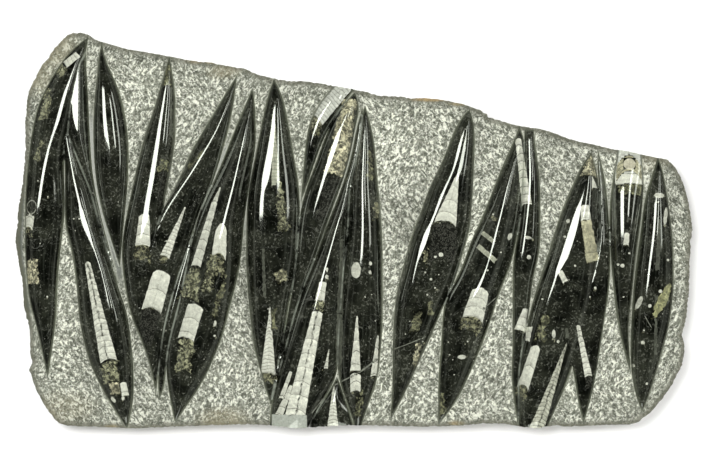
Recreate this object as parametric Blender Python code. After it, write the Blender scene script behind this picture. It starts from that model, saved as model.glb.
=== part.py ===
"""Polished orthoceras relief slab, one piece of black fossil limestone, lying on its sawn back.

The slab's length runs along X, its upper edge faces +Y and its relief faces +Z. Each spindle is a
long pointed lens of polished stone, ground out of the grey matrix round one or more fossil shells.
Outlines are in millimetres, on axes near the middle of the slab; the mesh is centred on its box.
"""

import bmesh
import bpy
import numpy as np
from mathutils import Vector
from mathutils.geometry import delaunay_2d_cdt

MM = 0.001

# Driving dimensions, in millimetres.
MATRIX_LEVEL = 29.0  # dressed matrix above the sawn back
CREST_RISE = 16.0  # rise of the widest spindle's crest above the matrix
CREST_WIDTH = 50.0  # width at which a spindle reaches that rise
RISE_POWER = 0.72  # how fast a narrow spindle loses height
ROUND_POWER = 0.75  # roundness of a spindle's cross-section: 1 is a parabola, 0.5 an ellipse
RIM_DROP = 3.0  # how far the matrix is worn down at the slab's edge
RIM_WIDTH = 14.0  # how far in from the edge that wear reaches
RIM_CURVE = 2  # how late on the way to the edge most of the wear comes

# Mesh spacings, in millimetres.
LATTICE = 8.0  # between points on open surface
LATTICE_ROW = 6.93  # between its rows, for triangles with equal sides
BORDER_STEP = 8.0  # between points along an outline, a spindle's border or its crest
CLEAR_OF_BORDER = 3.5  # open-surface points keep this far from those lines
CLEAR_OF_RIM = 2.0  # spindle lines stop this far from the slab's outline
COVERED = 0.5  # a line this far below another spindle's surface is left out
FEWEST_STEPS = 4  # points along the shortest spindle's lines
SAME_POINT = 0.05  # points closer than this become one

# The slab's outline, clockwise from its upper left corner.
SLAB = [
    (-266, 170), (-255, 178), (-241, 176), (-225, 168.5), (-200, 161), (-170, 157),
    (-140, 151.5), (-110, 147), (-88, 140), (-60, 134.5), (-30, 132), (0, 126.5),
    (30, 120.5), (65, 119), (90, 115), (113, 108), (120, 101.5), (150, 93.5),
    (175, 89), (200, 80), (237, 72.5), (260, 67.5), (281, 63.5), (288, 56),
    (295, 42), (300, 25), (303.5, 0), (301, -30), (299, -70), (294, -95),
    (296, -110), (294, -123), (285, -140), (270, -161), (255, -173), (240, -176.5),
    (200, -177), (165, -178.5), (135, -175), (95, -176.5), (60, -177.5), (0, -176),
    (-45, -178.5), (-100, -175.5), (-150, -177), (-200, -179), (-250, -177), (-268, -174),
    (-278, -164), (-289, -143), (-295, -126), (-294, -95), (-299.5, -68), (-302, -40),
    (-307, -10), (-304.5, 20), (-298.5, 62), (-298.5, 98), (-295, 125), (-283, 149),
    (-275, 159),
]

# Each spindle's two borders, from its upper tip to its lower tip. Where it is ground lower than its
# width would have it, the shares of the usual rise follow, as (y, share).
SPINDLES = {
    "outer_crescent": (
        [(-241, 173), (-262, 155), (-279, 128), (-290, 95), (-297, 35), (-298, -15),
         (-291, -75), (-284, -103), (-278, -134)],
        [(-241, 173), (-249, 150), (-258, 122), (-264, 90), (-262, 40), (-264, -10),
         (-269, -50), (-270, -80), (-275, -115), (-278, -134)],
    ),
    "slim_back": (
        [(-246, 168), (-254, 154), (-262, 135), (-266, 115), (-266, 100), (-262, 82), (-253, 65),
         (-240, 38), (-231, 5), (-220, -30), (-214, -46)],
        [(-246, 168), (-243, 150), (-241, 115), (-239, 75), (-236, 38), (-228, 5),
         (-220, -25), (-214, -46)],
    ),
    "upper_left": (
        [(-229, 169), (-233, 140), (-236, 100), (-235, 60), (-229, 20), (-213, -32)],
        [(-229, 169), (-221, 145), (-213, 125), (-206.5, 95), (-204.5, 65), (-206, 35),
         (-213, -32)],
    ),
    "long_diagonal": (
        [(-262, 98), (-265, 80), (-262, 40), (-260, -5), (-252, -40), (-249, -80),
         (-239.5, -120), (-225, -150), (-205, -178)],
        [(-262, 98), (-255, 80), (-245, 50), (-236, 25), (-226, -12), (-216, -45),
         (-206, -75), (-201, -110), (-200, -145), (-205, -178)],
    ),
    "forked_left": (
        [(-168, 157), (-176, 130), (-190, 85), (-203, 30), (-210, -20), (-206, -60),
         (-186, -120), (-180, -145)],
        [(-168, 157), (-163, 125), (-162.5, 85), (-166, 60), (-173, 22), (-172, -5),
         (-170, -40), (-174, -85), (-180, -145)],
    ),
    "forked_right": (
        [(-107, 139), (-118, 122), (-137, 90), (-155, 55), (-172, 30), (-184, 0),
         (-192, -40), (-190, -90), (-185, -120), (-180, -149)],
        [(-107, 139), (-109, 118), (-119, 75), (-142, 10), (-154, -25), (-167, -65),
         (-172, -85), (-176, -110), (-180, -149)],
    ),
    "broad_leaning": (
        [(-92, 128), (-103, 105), (-117, 70), (-137, 25), (-147, -5), (-155, -45),
         (-163, -80), (-171, -120), (-168, -148), (-163, -173)],
        [(-92, 128), (-90, 80), (-99, 20), (-103, -20), (-111, -60), (-120, -95),
         (-137, -135), (-163, -173)],
    ),
    "tall_straight": (
        [(-74, 135), (-83, 105), (-92, 60), (-98, 20), (-99, -20), (-95, -80),
         (-88, -120), (-76, -156)],
        [(-74, 135), (-64, 112), (-56, 70), (-51, 30), (-52, -15), (-57, -50),
         (-72, -130), (-76, -156)],
    ),
    "shell_end": (
        [(-14, 129), (-31, 117), (-43, 92), (-47, 50), (-50, 20)],
        [(-14, 129), (-5, 123), (-18, 105), (-32, 80), (-42, 50), (-50, 20)],
    ),
    "centre_back": (
        [(-2, 122), (-20, 100), (-32, 72), (-42, 45), (-51, 10), (-55, -30), (-62, -75),
         (-72, -130), (-78, -158)],
        [(-2, 122), (2, 105), (-6, 70), (-17, 35), (-27, 5), (-41, -35), (-56, -80),
         (-68, -125), (-78, -158)],
    ),
    "centre_left": (
        [(6, 111), (-1, 80), (-8, 50), (-21, 15), (-41, -35), (-56, -78), (-68, -120),
         (-77, -160), (-78, -182)],
        [(6, 111), (4, 80), (-2, 50), (-7, 0), (-12, -60), (-16, -120), (-22, -150),
         (-40, -172), (-45, -182)],
    ),
    "centre_right": (
        [(8, 112), (0, 80), (-5, 40), (-8, 0), (-14, -60), (-17, -105), (-11, -148),
         (-2, -173), (0, -182)],
        [(8, 112), (17, 75), (21, 35), (24, -20), (24, -80), (21, -120), (10, -160),
         (1, -182)],
    ),
    "small_foot": (
        [(-17, -133), (-28, -151), (-38, -168), (-46, -184)],
        [(-17, -133), (-8, -157), (-4, -168), (0, -184)],
        [(-133, 1.0), (-157, 0.65), (-184, 0.3)],
    ),
    "right_leaning": (
        [(102, 108), (88, 88), (72, 48), (58, 15), (45, -25), (35, -70), (33, -120),
         (31, -170)],
        [(102, 108), (107, 85), (105, 35), (100, -5), (92, -25), (84, -57), (67, -97),
         (50, -133), (31, -170)],
    ),
    "ringed_leaning": (
        [(147, 92), (133, 60), (119, 25), (103, -12), (92, -40), (79, -65), (76, -110),
         (75, -174)],
        [(147, 92), (152, 75), (150, 30), (144, -10), (132, -50), (117, -95), (97, -142),
         (75, -174)],
    ),
    "slim_straight": (
        [(156, 91), (152, 75), (150, 30), (146, -10), (141, -60), (141, -110), (145, -175)],
        [(156, 91), (163, 65), (166, 30), (166, -10), (160, -40), (155, -65), (147, -140),
         (145, -175)],
    ),
    "broad_right": (
        [(212, 69), (200, 52), (185, 18), (174, -18), (161, -57), (150, -100), (145, -140),
         (148, -182)],
        [(212, 69), (217, 45), (219, 0), (218, -40), (206, -85), (194, -124), (186, -150),
         (170, -182)],
    ),
    "slim_right": (
        [(218, 71), (217, 45), (219, 0), (215, -40), (206, -85), (196, -125), (201, -160),
         (205, -173)],
        [(218, 71), (225, 38), (228, 0), (229, -30), (222, -90), (214, -140), (205, -173)],
        [(0, 1.1), (-50, 0.7), (-80, 0.45), (-110, 0.35)],
    ),
    "domed_top": (
        [(237, 80), (232, 50), (228, 5), (231, -45), (238, -95), (247, -130)],
        [(257, 80), (259, 45), (255, 0), (250, -45), (245, -90), (247, -130)],
        [(80, 0.1), (62, 0.3), (42, 0.65), (20, 0.9), (-10, 1.05), (-45, 1.2), (-80, 1.1)],
    ),
    "outer_right": (
        [(272, 64), (262, 38), (257, 0), (251, -40), (247, -90), (249, -135), (257, -163)],
        [(272, 64), (279, 38), (285, -5), (286, -45), (281, -90), (269, -132), (257, -163)],
    ),
}


def border_x(points, y):
    """x of a border at each y, on a smooth curve that keeps to its points and never overshoots."""
    xs, ys = np.array(points[::-1], float).T
    step = np.diff(ys)
    slope = np.diff(xs) / step
    tangent = np.concatenate([slope[:1], slope[:-1], slope[-1:]])
    inner = slope[:-1] * slope[1:]
    blend = 2 * inner / np.where(inner > 0, slope[:-1] + slope[1:], 1)
    tangent[1:-1] = np.where(inner > 0, blend, 0)
    k = np.clip(np.searchsorted(ys, y) - 1, 0, len(step) - 1)
    u = np.clip((y - ys[k]) / step[k], 0, 1)
    start = (1 + 2 * u) * (1 - u) ** 2 * xs[k] + u * (1 - u) ** 2 * step[k] * tangent[k]
    end = u**2 * (3 - 2 * u) * xs[k + 1] - u**2 * (1 - u) * step[k] * tangent[k + 1]
    return start + end


def spindle_rise(left, right, x, y, shares=((0, 1.0),)):
    """Height of one spindle's polished surface above the matrix, and 0 outside its borders.

    Shares are (y, share of the usual rise) from the top down, for one that is ground lower.
    """
    low, high = left[-1][1], left[0][1]
    x_left = border_x(left, y)
    x_right = border_x(right, y)
    width = np.maximum(x_right - x_left, 1e-6)
    across = np.clip((2 * x - x_left - x_right) / width, -1, 1)
    crest = CREST_RISE * np.clip(width / CREST_WIDTH, 0, 1) ** RISE_POWER
    crest *= np.interp(y, *np.array(shares[::-1]).T)
    inside = (y > low) & (y < high)
    return np.where(inside, crest * (1 - across**2) ** ROUND_POWER, 0)


def distance_to_line(x, y, line):
    """Distance from each point to the nearest stretch of a polyline."""
    best = np.full(len(x), np.inf)
    for (ax, ay), (bx, by) in zip(line[:-1], line[1:]):
        run = np.hypot(bx - ax, by - ay) ** 2
        along = np.clip(((x - ax) * (bx - ax) + (y - ay) * (by - ay)) / run, 0, 1)
        best = np.minimum(best, np.hypot(x - ax - along * (bx - ax), y - ay - along * (by - ay)))
    return best


def inside_slab(x, y):
    """True for each point inside the slab's outline."""
    inside = np.zeros(len(x), bool)
    for (ax, ay), (bx, by) in zip(SLAB, SLAB[1:] + SLAB[:1]):
        crosses = (ay > y) != (by > y)
        inside ^= crosses & (x < ax + (bx - ax) * (y - ay) / (by - ay if by != ay else 1))
    return inside


def relief_rise(x, y):
    """Height of the highest spindle at each point above the matrix."""
    rise = np.zeros(len(x))
    for left, right, *shares in SPINDLES.values():
        rise = np.maximum(rise, spindle_rise(left, right, x, y, *shares))
    return rise


def surface_height(x, y):
    """Height of the worn matrix and of the spindles above the sawn back."""
    edge = distance_to_line(x, y, SLAB + SLAB[:1])
    worn = RIM_DROP * np.clip(1 - edge / RIM_WIDTH, 0, 1) ** RIM_CURVE
    return MATRIX_LEVEL + relief_rise(x, y) - worn


def outline_points():
    """The slab's outline with its long sides divided."""
    points = []
    for (ax, ay), (bx, by) in zip(SLAB, SLAB[1:] + SLAB[:1]):
        pieces = max(1, round(np.hypot(bx - ax, by - ay) / BORDER_STEP))
        for i in range(pieces):
            points.append((ax + (bx - ax) * i / pieces, ay + (by - ay) * i / pieces))
    return points


def spindle_lines():
    """Each spindle's borders and crest, where no other spindle covers them, as lists of runs."""
    runs = []
    for left, right, *shares in SPINDLES.values():
        low, high = left[-1][1], left[0][1]
        y = np.linspace(high, low, max(FEWEST_STEPS, round((high - low) / BORDER_STEP)))
        x_left = border_x(left, y)
        x_right = border_x(right, y)
        for x in (x_left, (x_left + x_right) / 2, x_right):
            own = spindle_rise(left, right, x, y, *shares)
            bare = inside_slab(x, y) & (relief_rise(x, y) < own + COVERED)
            breaks = np.flatnonzero(np.diff(bare.astype(int))) + 1
            for piece in np.split(np.arange(len(y)), breaks):
                if bare[piece[0]]:
                    runs.append((x[piece], y[piece]))
    return runs


def lattice_points():
    """A triangular lattice over the whole slab."""
    points = []
    low_x, low_y = np.min(SLAB, axis=0)
    high_x, high_y = np.max(SLAB, axis=0)
    for i, y in enumerate(np.arange(low_y, high_y, LATTICE_ROW)):
        for x in np.arange(low_x + (i % 2) * LATTICE / 2, high_x, LATTICE):
            points.append((x, y))
    return np.array(points)


def flat_net():
    """The slab seen from above, cut into triangles along the spindles' borders and crests."""
    points = outline_points()
    edges = [(i, (i + 1) % len(points)) for i in range(len(points))]
    taken = [np.array(points + points[:1])]
    for x, y in spindle_lines():
        kept = distance_to_line(x, y, taken[0]) > CLEAR_OF_RIM
        first = len(points)
        line = list(zip(x[kept], y[kept]))
        points += line
        edges += [(first + i, first + i + 1) for i in range(len(line) - 1)]
        taken.append(np.array(line))
    x, y = lattice_points().T
    kept = inside_slab(x, y)
    for line in taken:
        kept &= distance_to_line(x, y, line) > CLEAR_OF_BORDER
    points += list(zip(x[kept], y[kept]))
    flat = [Vector((float(px), float(py))) for px, py in points]
    verts, _, faces, *_ = delaunay_2d_cdt(flat, edges, [], 0, SAME_POINT)
    net = np.array([(v.x, v.y) for v in verts])
    middle = np.array([net[list(face)].mean(axis=0) for face in faces])
    within = inside_slab(middle[:, 0], middle[:, 1])
    return net, [face for face, keep in zip(faces, within) if keep]


def polished_limestone():
    """Black limestone with a polished, slightly greenish surface."""
    material = bpy.data.materials.new("polished_black_limestone")
    material.use_nodes = True
    shader = material.node_tree.nodes["Principled BSDF"]
    shader.inputs["Base Color"].default_value = (0.06, 0.06, 0.055, 1)
    shader.inputs["Roughness"].default_value = 0.35
    shader.inputs["Metallic"].default_value = 0.0
    return material


def fossil_slab():
    """The whole slab: relief on top, broken walls all round and a flat sawn back."""
    net, faces = flat_net()
    corners = np.array(SLAB)
    centre = (corners.max(axis=0) + corners.min(axis=0)) / 2
    height = surface_height(net[:, 0], net[:, 1])
    shape = bmesh.new()
    verts = [
        shape.verts.new(((x - centre[0]) * MM, (y - centre[1]) * MM, z * MM))
        for (x, y), z in zip(net, height)
    ]
    for face in faces:
        shape.faces.new([verts[i] for i in face])
    loose = [v for v in shape.verts if not v.link_faces]
    bmesh.ops.delete(shape, geom=loose, context="VERTS")
    rim = [edge for edge in shape.edges if edge.is_boundary]
    wall = bmesh.ops.extrude_edge_only(shape, edges=rim)["geom"]
    for vert in (item for item in wall if isinstance(item, bmesh.types.BMVert)):
        vert.co.z = 0
    sawn_edge = [edge for edge in shape.edges if edge.is_boundary]
    bmesh.ops.contextual_create(shape, geom=sawn_edge)
    bmesh.ops.recalc_face_normals(shape, faces=shape.faces)
    mesh = bpy.data.meshes.new("fossil_slab")
    shape.to_mesh(mesh)
    shape.free()
    slab = bpy.data.objects.new("fossil_slab", mesh)
    slab.data.materials.append(polished_limestone())
    bpy.context.scene.collection.objects.link(slab)


for thing in list(bpy.data.objects):
    bpy.data.objects.remove(thing, do_unlink=True)
fossil_slab()
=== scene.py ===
"""Orthoceras relief slab: polished black spindles with pale shells, in dressed grey matrix."""

from functools import partial

import bpy
import numpy as np
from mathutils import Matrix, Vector, kdtree, noise
from mathutils.geometry import delaunay_2d_cdt


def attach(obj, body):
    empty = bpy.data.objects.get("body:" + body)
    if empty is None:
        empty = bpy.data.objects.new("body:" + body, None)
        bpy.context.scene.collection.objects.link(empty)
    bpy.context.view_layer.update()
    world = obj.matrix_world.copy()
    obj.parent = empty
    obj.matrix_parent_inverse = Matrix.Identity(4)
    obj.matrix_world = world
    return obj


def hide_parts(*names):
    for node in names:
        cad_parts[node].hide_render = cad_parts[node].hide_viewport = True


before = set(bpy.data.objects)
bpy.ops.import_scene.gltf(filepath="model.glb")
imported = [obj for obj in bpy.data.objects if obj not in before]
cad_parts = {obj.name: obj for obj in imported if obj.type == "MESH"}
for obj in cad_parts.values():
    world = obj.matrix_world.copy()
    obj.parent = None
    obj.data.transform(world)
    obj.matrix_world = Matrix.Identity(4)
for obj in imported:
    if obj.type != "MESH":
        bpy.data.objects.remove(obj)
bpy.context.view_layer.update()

# ---------------------------------------------------------------------------------------------
# The slab's shape
# One slab of black limestone full of straight-shelled orthoceras. A mason cuts the grey matrix
# away round the fossils with a point chisel and grinds each fossil into a long raised spindle,
# then polishes the spindles. The outline is broken and sawn; the back is sawn flat.
# Places are in millimetres on the mason's drawing, whose middle lies close to the slab's.
# ---------------------------------------------------------------------------------------------
MM = 0.001
MATRIX_LEVEL = 29.0  # dressed matrix above the sawn back
TOP_LEVEL = 45.0  # highest crest above the sawn back
CREST_RISE = 16.0  # rise of the widest spindle's crest above the matrix
CREST_WIDTH = 50.0  # width at which a spindle reaches that rise
RISE_POWER = 0.72  # how fast a narrower spindle loses height
ROUND_POWER = 0.72  # fullness of a rounded back
ROOF_POWER = 0.92  # fullness of a back ground to two flat sides
ROOF_SOFT = 0.16  # rounding of the ridge between those sides, as a share of the half width
RIM_DROP = 3.0  # how far the matrix is worn down at the slab's edge
RIM_WIDTH = 14.0  # how far in from the edge that wear reaches

SLAB = [
    (-266, 170), (-262, 175), (-255, 178), (-248, 178), (-241, 176), (-235, 171.5), (-225, 168.5),
    (-208, 163.5), (-190, 160.5), (-170, 157), (-150, 153), (-130, 151), (-110, 147), (-100, 145.5),
    (-88, 140), (-70, 136), (-60, 134.5), (-48, 134.5), (-30, 132), (-10, 128.5), (10, 124.5),
    (20, 121.5), (40, 120.5), (50, 119), (65, 119), (82, 117), (97, 113.5), (113, 108), (118, 105),
    (120, 101.5), (130, 99), (140, 95.5), (150, 93.5), (168, 91), (180, 87), (190, 83), (200, 80),
    (220, 76), (230, 73), (243, 71.5), (260, 67.5), (281, 63.5), (284, 61), (288, 56), (292, 50),
    (295, 42), (300, 25), (302, 12), (303.5, 0), (302, -10), (301, -30), (300, -60), (298, -80),
    (295, -90), (294, -95), (296, -102), (296, -110), (294, -123), (290, -129), (285, -140),
    (275, -154), (265, -165), (255, -173), (247, -175.5), (220, -176), (190, -177.5), (180, -176),
    (165, -178.5), (155, -178), (135, -175), (115, -174.5), (95, -176.5), (60, -177.5),
    (20, -176.5),
    (0, -176), (-20, -176.5), (-45, -178.5), (-60, -178), (-80, -176), (-100, -175.5), (-130, -176),
    (-150, -177), (-200, -179), (-220, -178), (-250, -177), (-260, -176.5), (-268, -174),
    (-273, -170), (-281, -158), (-289, -143), (-295, -126), (-292, -120), (-294, -110), (-294, -90),
    (-297, -80), (-299.5, -68), (-300.5, -50), (-304, -30), (-307, -10), (-304.5, 20), (-301, 40),
    (-299, 60), (-298, 75), (-298.5, 95), (-297, 115), (-295, 125), (-287, 142), (-283, 149),
    (-279, 153), (-272, 164),
]

# Each spindle's left and right border from its upper tip to its lower one, the place of its crest
# as (y, share of the width), how roof-like its back is (ridge) and how far it differs from the
# usual height (rise for the whole, lift by y). Some tops have a small flat from the wheel (cuts):
# its middle (x, y), how deep it goes there, and its slopes towards +x and +y.
SPINDLES = {
    "outer_crescent": dict(
        left=[(-241, 173), (-250, 168.5), (-258, 160), (-266, 150), (-272, 140), (-279, 128),
            (-284, 118), (-288, 106), (-291, 92), (-294, 72), (-296.5, 50), (-298, 20), (-298, -15),
            (-295, -58), (-287, -90), (-281, -117), (-277.5, -134)],
        right=[(-241, 173), (-243, 160), (-246, 146), (-249, 130), (-252, 112), (-256, 92),
            (-261, 75), (-263, 60), (-262, 20), (-264.5, -5), (-268, -40), (-270, -80),
            (-272.5, -100), (-275, -118), (-277.5, -134)],
        crest=[(-60, 0.42), (0, 0.34), (24, 0.36), (40, 0.44), (60, 0.53), (80, 0.64), (100, 0.69),
            (137, 0.72)],
        ridge=0.3,
    ),
    "slim_back": dict(
        left=[(-245, 169), (-254, 155), (-262, 135), (-266, 115), (-266, 100), (-262, 82),
            (-253, 65), (-245, 50), (-240, 38), (-236, 25), (-231, 5), (-226, -12), (-220, -30),
            (-214, -48)],
        right=[(-243, 169), (-243, 150), (-242, 135), (-241, 115), (-239.5, 85), (-238, 60),
            (-235, 38), (-229, 10), (-221, -20), (-214, -48)],
        crest=[(0, 0.55), (60, 0.56), (90, 0.6), (140, 0.58)],
        ridge=0.8,
        cuts=[(-254, 114, 0.7, 0.02, -0.05)],
    ),
    "upper_left": dict(
        left=[(-229, 169), (-231, 160), (-233, 140), (-235.5, 115), (-236.5, 95), (-236, 70),
            (-234, 45), (-228, 15), (-220, -10), (-212.5, -33)],
        right=[(-229, 169), (-226, 155), (-222, 145), (-217, 135), (-213, 125), (-209, 110),
            (-206.5, 95), (-204.5, 70), (-205, 50), (-206.5, 30), (-209, 5), (-212.5, -33)],
        crest=[(20, 0.5), (68, 0.48), (88, 0.38), (112, 0.36)],
        lift=[(110, 1.04), (90, 1.03), (60, 0.93), (0, 0.95)],
    ),
    "long_diagonal": dict(
        left=[(-260, 98), (-264, 90), (-264.5, 78), (-262, 60), (-262, 5), (-258, -10), (-254, -30),
            (-251, -55), (-249, -80), (-245, -100), (-239.5, -120), (-230, -140), (-219, -160),
            (-206, -178)],
        right=[(-260, 98), (-254, 80), (-250, 67), (-245, 50), (-240, 38), (-236, 25), (-231, 5),
            (-226, -12), (-220, -30), (-213, -55), (-206, -75), (-202.5, -100), (-200.5, -120),
            (-200, -145), (-203, -168), (-206, -178)],
        crest=[(-110, 0.6), (-48, 0.74), (-25, 0.7), (0, 0.66), (15, 0.62), (30, 0.52), (60, 0.45)],
        ridge=0.2,
        lift=[(40, 1.1), (-40, 1.03), (-120, 0.9)],
        cuts=[(-235, -15, 0.1, -0.03, -0.04)],
    ),
    "forked_left": dict(
        left=[(-168, 157), (-173, 140), (-180, 115), (-190, 85), (-197, 58), (-203, 30), (-208, 5),
            (-211, -20), (-208, -50), (-203, -75), (-193, -100), (-186, -120), (-180, -146)],
        right=[(-168, 157), (-165, 140), (-162.5, 120), (-162.5, 85), (-165, 65), (-169, 42),
            (-173, 22), (-173, 0), (-170, -30), (-171, -60), (-176, -95), (-180, -146)],
        crest=[(-60, 0.52), (3, 0.57), (20, 0.62), (40, 0.58), (55, 0.57), (75, 0.52), (100, 0.47),
            (130, 0.4)],
        lift=[(60, 1.0), (20, 1.1), (-10, 0.97), (-40, 0.86), (-100, 0.82)],
    ),
    "forked_right": dict(
        left=[(-107, 139), (-112, 131), (-118, 122), (-131, 100), (-143, 80), (-150, 68),
            (-155, 55), (-160, 45), (-166, 33), (-174, 18), (-184, -10), (-192, -40), (-190, -85),
            (-185, -120), (-180, -149)],
        right=[(-107, 139), (-109, 122), (-113, 98), (-119, 75), (-130, 40), (-142, 10),
            (-154, -25), (-161, -45), (-167, -65), (-172, -85), (-176, -110), (-180, -149)],
        crest=[(-60, 0.3), (-15, 0.06), (12, 0.05), (30, 0.13), (45, 0.22), (58, 0.36), (72, 0.49),
            (85, 0.55), (100, 0.61)],
        ridge=0.4,
        lift=[(100, 0.95), (40, 1.05), (18, 1.1), (-15, 0.98), (-60, 0.88)],
    ),
    "broad_leaning": dict(
        left=[(-93, 128), (-97, 118), (-103, 105), (-108, 93), (-117, 70), (-123, 55), (-130, 40),
            (-137, 25), (-147, -5), (-151, -25), (-155, -45), (-159, -65), (-163, -80),
            (-168, -100), (-171, -120), (-168, -148), (-163, -173)],
        right=[(-93, 128), (-91, 115), (-90, 80), (-93, 60), (-99, 20), (-101, 5), (-103, -20),
            (-107, -45), (-111, -60), (-116, -80), (-120, -95), (-128, -115), (-137, -135),
            (-150, -155), (-163, -173)],
        crest=[(-100, 0.55), (5, 0.61), (40, 0.64), (60, 0.56), (100, 0.54)],
        ridge=0.8,
        lift=[(100, 1.15), (40, 1.14), (10, 1.12), (-30, 0.95), (-100, 0.8)],
    ),
    "low_web": dict(
        left=[(-146, 0), (-154.4, -25), (-161.4, -45), (-167.4, -65), (-172.4, -85), (-176.4, -110),
            (-178.5, -135), (-177, -152)],
        right=[(-146, 0), (-150.6, -25), (-154.6, -45), (-158.6, -65), (-162.6, -80),
            (-167.6, -100), (-170.6, -120), (-172, -140), (-177, -152)],
        crest=[(0, 0.5)],
        ridge=1.0,
        rise=0.4,
    ),
    "tall_straight": dict(
        left=[(-74, 135), (-77, 128), (-80, 118), (-83, 105), (-88, 80), (-92, 60), (-96, 40),
            (-98.5, 15), (-99, -20), (-97.5, -55), (-95, -80), (-93, -100), (-88, -120),
            (-82.5, -140), (-76.5, -157)],
        right=[(-74, 135), (-70, 130), (-64, 112), (-59, 85), (-55, 62), (-51.5, 40), (-50.5, 15),
            (-52, -15), (-55, -40), (-60, -65), (-66, -100), (-72, -130), (-76.5, -157)],
        crest=[(-60, 0.42), (0, 0.3), (20, 0.29), (40, 0.3), (60, 0.35), (80, 0.45), (100, 0.5),
            (120, 0.55)],
        cuts=[(-75, 94, 0.025, 0.05, -0.1)],
    ),
    "shell_end": dict(
        left=[(-16, 132), (-22, 128), (-31, 117), (-40, 102), (-43, 92), (-45, 80), (-46.5, 65),
            (-48, 45), (-50, 25)],
        right=[(4, 132), (-5, 123), (-14, 108), (-24, 92), (-31, 78), (-38, 58), (-45, 38),
            (-50, 25)],
        crest=[(70, 0.41), (95, 0.33), (110, 0.42)],
        rise=0.85,
        lift=[(132, 0.35), (112, 0.68), (92, 1.0), (60, 1.0)],
    ),
    "centre_back": dict(
        left=[(-1, 123), (-8, 118), (-20, 100), (-26, 88), (-32, 72), (-36, 60), (-42, 45),
            (-47, 30), (-51, 10), (-54, -20), (-57, -50), (-62, -78), (-68, -110), (-73, -135),
            (-78, -160)],
        right=[(-1, 123), (4, 110), (1, 100), (-4.8, 70), (-10.8, 48), (-21, 20), (-30, -5),
            (-38, -28), (-46, -48), (-54, -72), (-60, -95), (-68, -125), (-78, -160)],
        crest=[(-60, 0.5), (5, 0.54), (20, 0.52), (35, 0.48), (62, 0.4), (72, 0.45), (95, 0.5)],
        ridge=0.2,
        cuts=[(-25.8, 60, 0.15, 0.136, -0.084)],
    ),
    "centre_left": dict(
        left=[(6, 111), (1.5, 95), (-4.7, 65), (-9, 50), (-15.2, 32), (-22, 15), (-28, 0),
            (-34, -18), (-41, -35), (-48, -52), (-54, -70), (-61, -95), (-68, -120), (-73, -140),
            (-77, -162), (-78, -182)],
        right=[(6, 111), (5, 90), (0, 60), (-6, 38), (-7, 0), (-10, -30), (-12, -60), (-15, -100),
            (-17, -128), (-26, -148), (-36, -164), (-44, -182)],
        crest=[(-150, 0.5), (-42, 0.44), (-8, 0.45), (5, 0.48), (20, 0.6), (38, 0.8), (68, 0.8)],
        ridge=0.5,
        lift=[(60, 1.3), (0, 1.15), (-60, 0.95), (-130, 0.75)],
    ),
    "centre_right": dict(
        left=[(8, 112), (3, 90), (-2, 60), (-6, 35), (-8, 0), (-12, -35), (-15, -70), (-17, -105),
            (-16, -130), (-11, -148), (-6, -162), (-2, -173), (0, -182)],
        right=[(8, 112), (12, 100), (17, 75), (19, 50), (22, 20), (24, -20), (24, -80), (22, -110),
            (19, -135), (10, -160), (3, -182)],
        crest=[(-100, 0.5), (-20, 0.48), (10, 0.47), (40, 0.47), (65, 0.42)],
        ridge=0.4,
        lift=[(100, 0.8), (75, 0.98), (50, 1.08), (-20, 1.05), (-100, 0.88)],
    ),
    "small_foot": dict(
        left=[(-17, -133), (-22, -142), (-28, -151), (-38, -168), (-46, -184)],
        right=[(-17, -133), (-13, -143), (-8, -157), (-4, -168), (0, -184)],
        crest=[(-150, 0.5)],
        ridge=0.9,
        rise=0.8,
        lift=[(-135, 1.3), (-143, 1.2), (-157, 0.75), (-168, 0.5), (-184, 0.3)],
    ),
    "right_leaning": dict(
        left=[(102, 108), (98, 106), (92, 97), (88, 88), (83, 75), (78, 62), (66, 38), (58, 15),
            (53, 3), (48, -12), (41, -40), (37, -55), (34, -80), (33, -110), (33, -130),
            (31, -171)],
        right=[(102, 108), (105.5, 100), (107, 88), (106.5, 65), (105, 35), (103, 5), (99, -12),
            (95, -25), (90, -42), (84, -57), (78, -70), (67, -97), (57, -118), (44, -147),
            (31, -171)],
        crest=[(-100, 0.4), (-50, 0.28), (-38, 0.26), (-25, 0.25), (-10, 0.24), (8, 0.29),
            (20, 0.32), (38, 0.38), (60, 0.5)],
        lift=[(60, 0.9), (-40, 1.03), (-120, 1.0)],
        cuts=[(92.3, 50, 0.08, -0.24, -0.042), (60, -8, 0.25, 0.2, -0.09)],
    ),
    "ringed_leaning": dict(
        left=[(147, 93), (143, 82), (138, 72), (133, 60), (124, 38), (119, 25), (114, 12), (108, 0),
            (101, -18), (96, -32), (90, -45), (80, -62), (78, -80), (77, -100), (74, -140),
            (74, -175)],
        right=[(147, 93), (150, 88), (152, 75), (151, 50), (149, 20), (147, 5), (144, -10),
            (141, -25), (136, -40), (128, -60), (121, -82), (112, -107), (102, -130), (90, -155),
            (74, -175)],
        crest=[(-60, 0.58), (-10, 0.52), (10, 0.47), (35, 0.45), (58, 0.45), (68, 0.54)],
        ridge=0.8,
        lift=[(60, 1.15), (5, 1.14), (-20, 1.06), (-45, 0.93), (-100, 0.75)],
    ),
    "slim_straight": dict(
        left=[(152, 90), (151, 75), (150, 50), (149, 25), (147, 5), (144, -12), (141, -35),
            (141, -60), (141, -100), (140, -130), (143, -160), (146, -176)],
        right=[(160, 90), (161.5, 75), (165, 50), (166, 25), (166, -10), (163, -30), (159, -45),
            (157, -62), (154, -85), (150, -115), (147, -150), (146, -176)],
        crest=[(-60, 0.4), (-10, 0.33), (22, 0.36), (35, 0.5), (60, 0.52)],
    ),
    "broad_right": dict(
        left=[(212, 69), (205, 62), (200, 52), (195, 40), (190, 30), (181, 5), (174, -18),
            (165, -45), (159, -65), (154, -85), (150, -100), (145, -130), (147, -182)],
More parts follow.
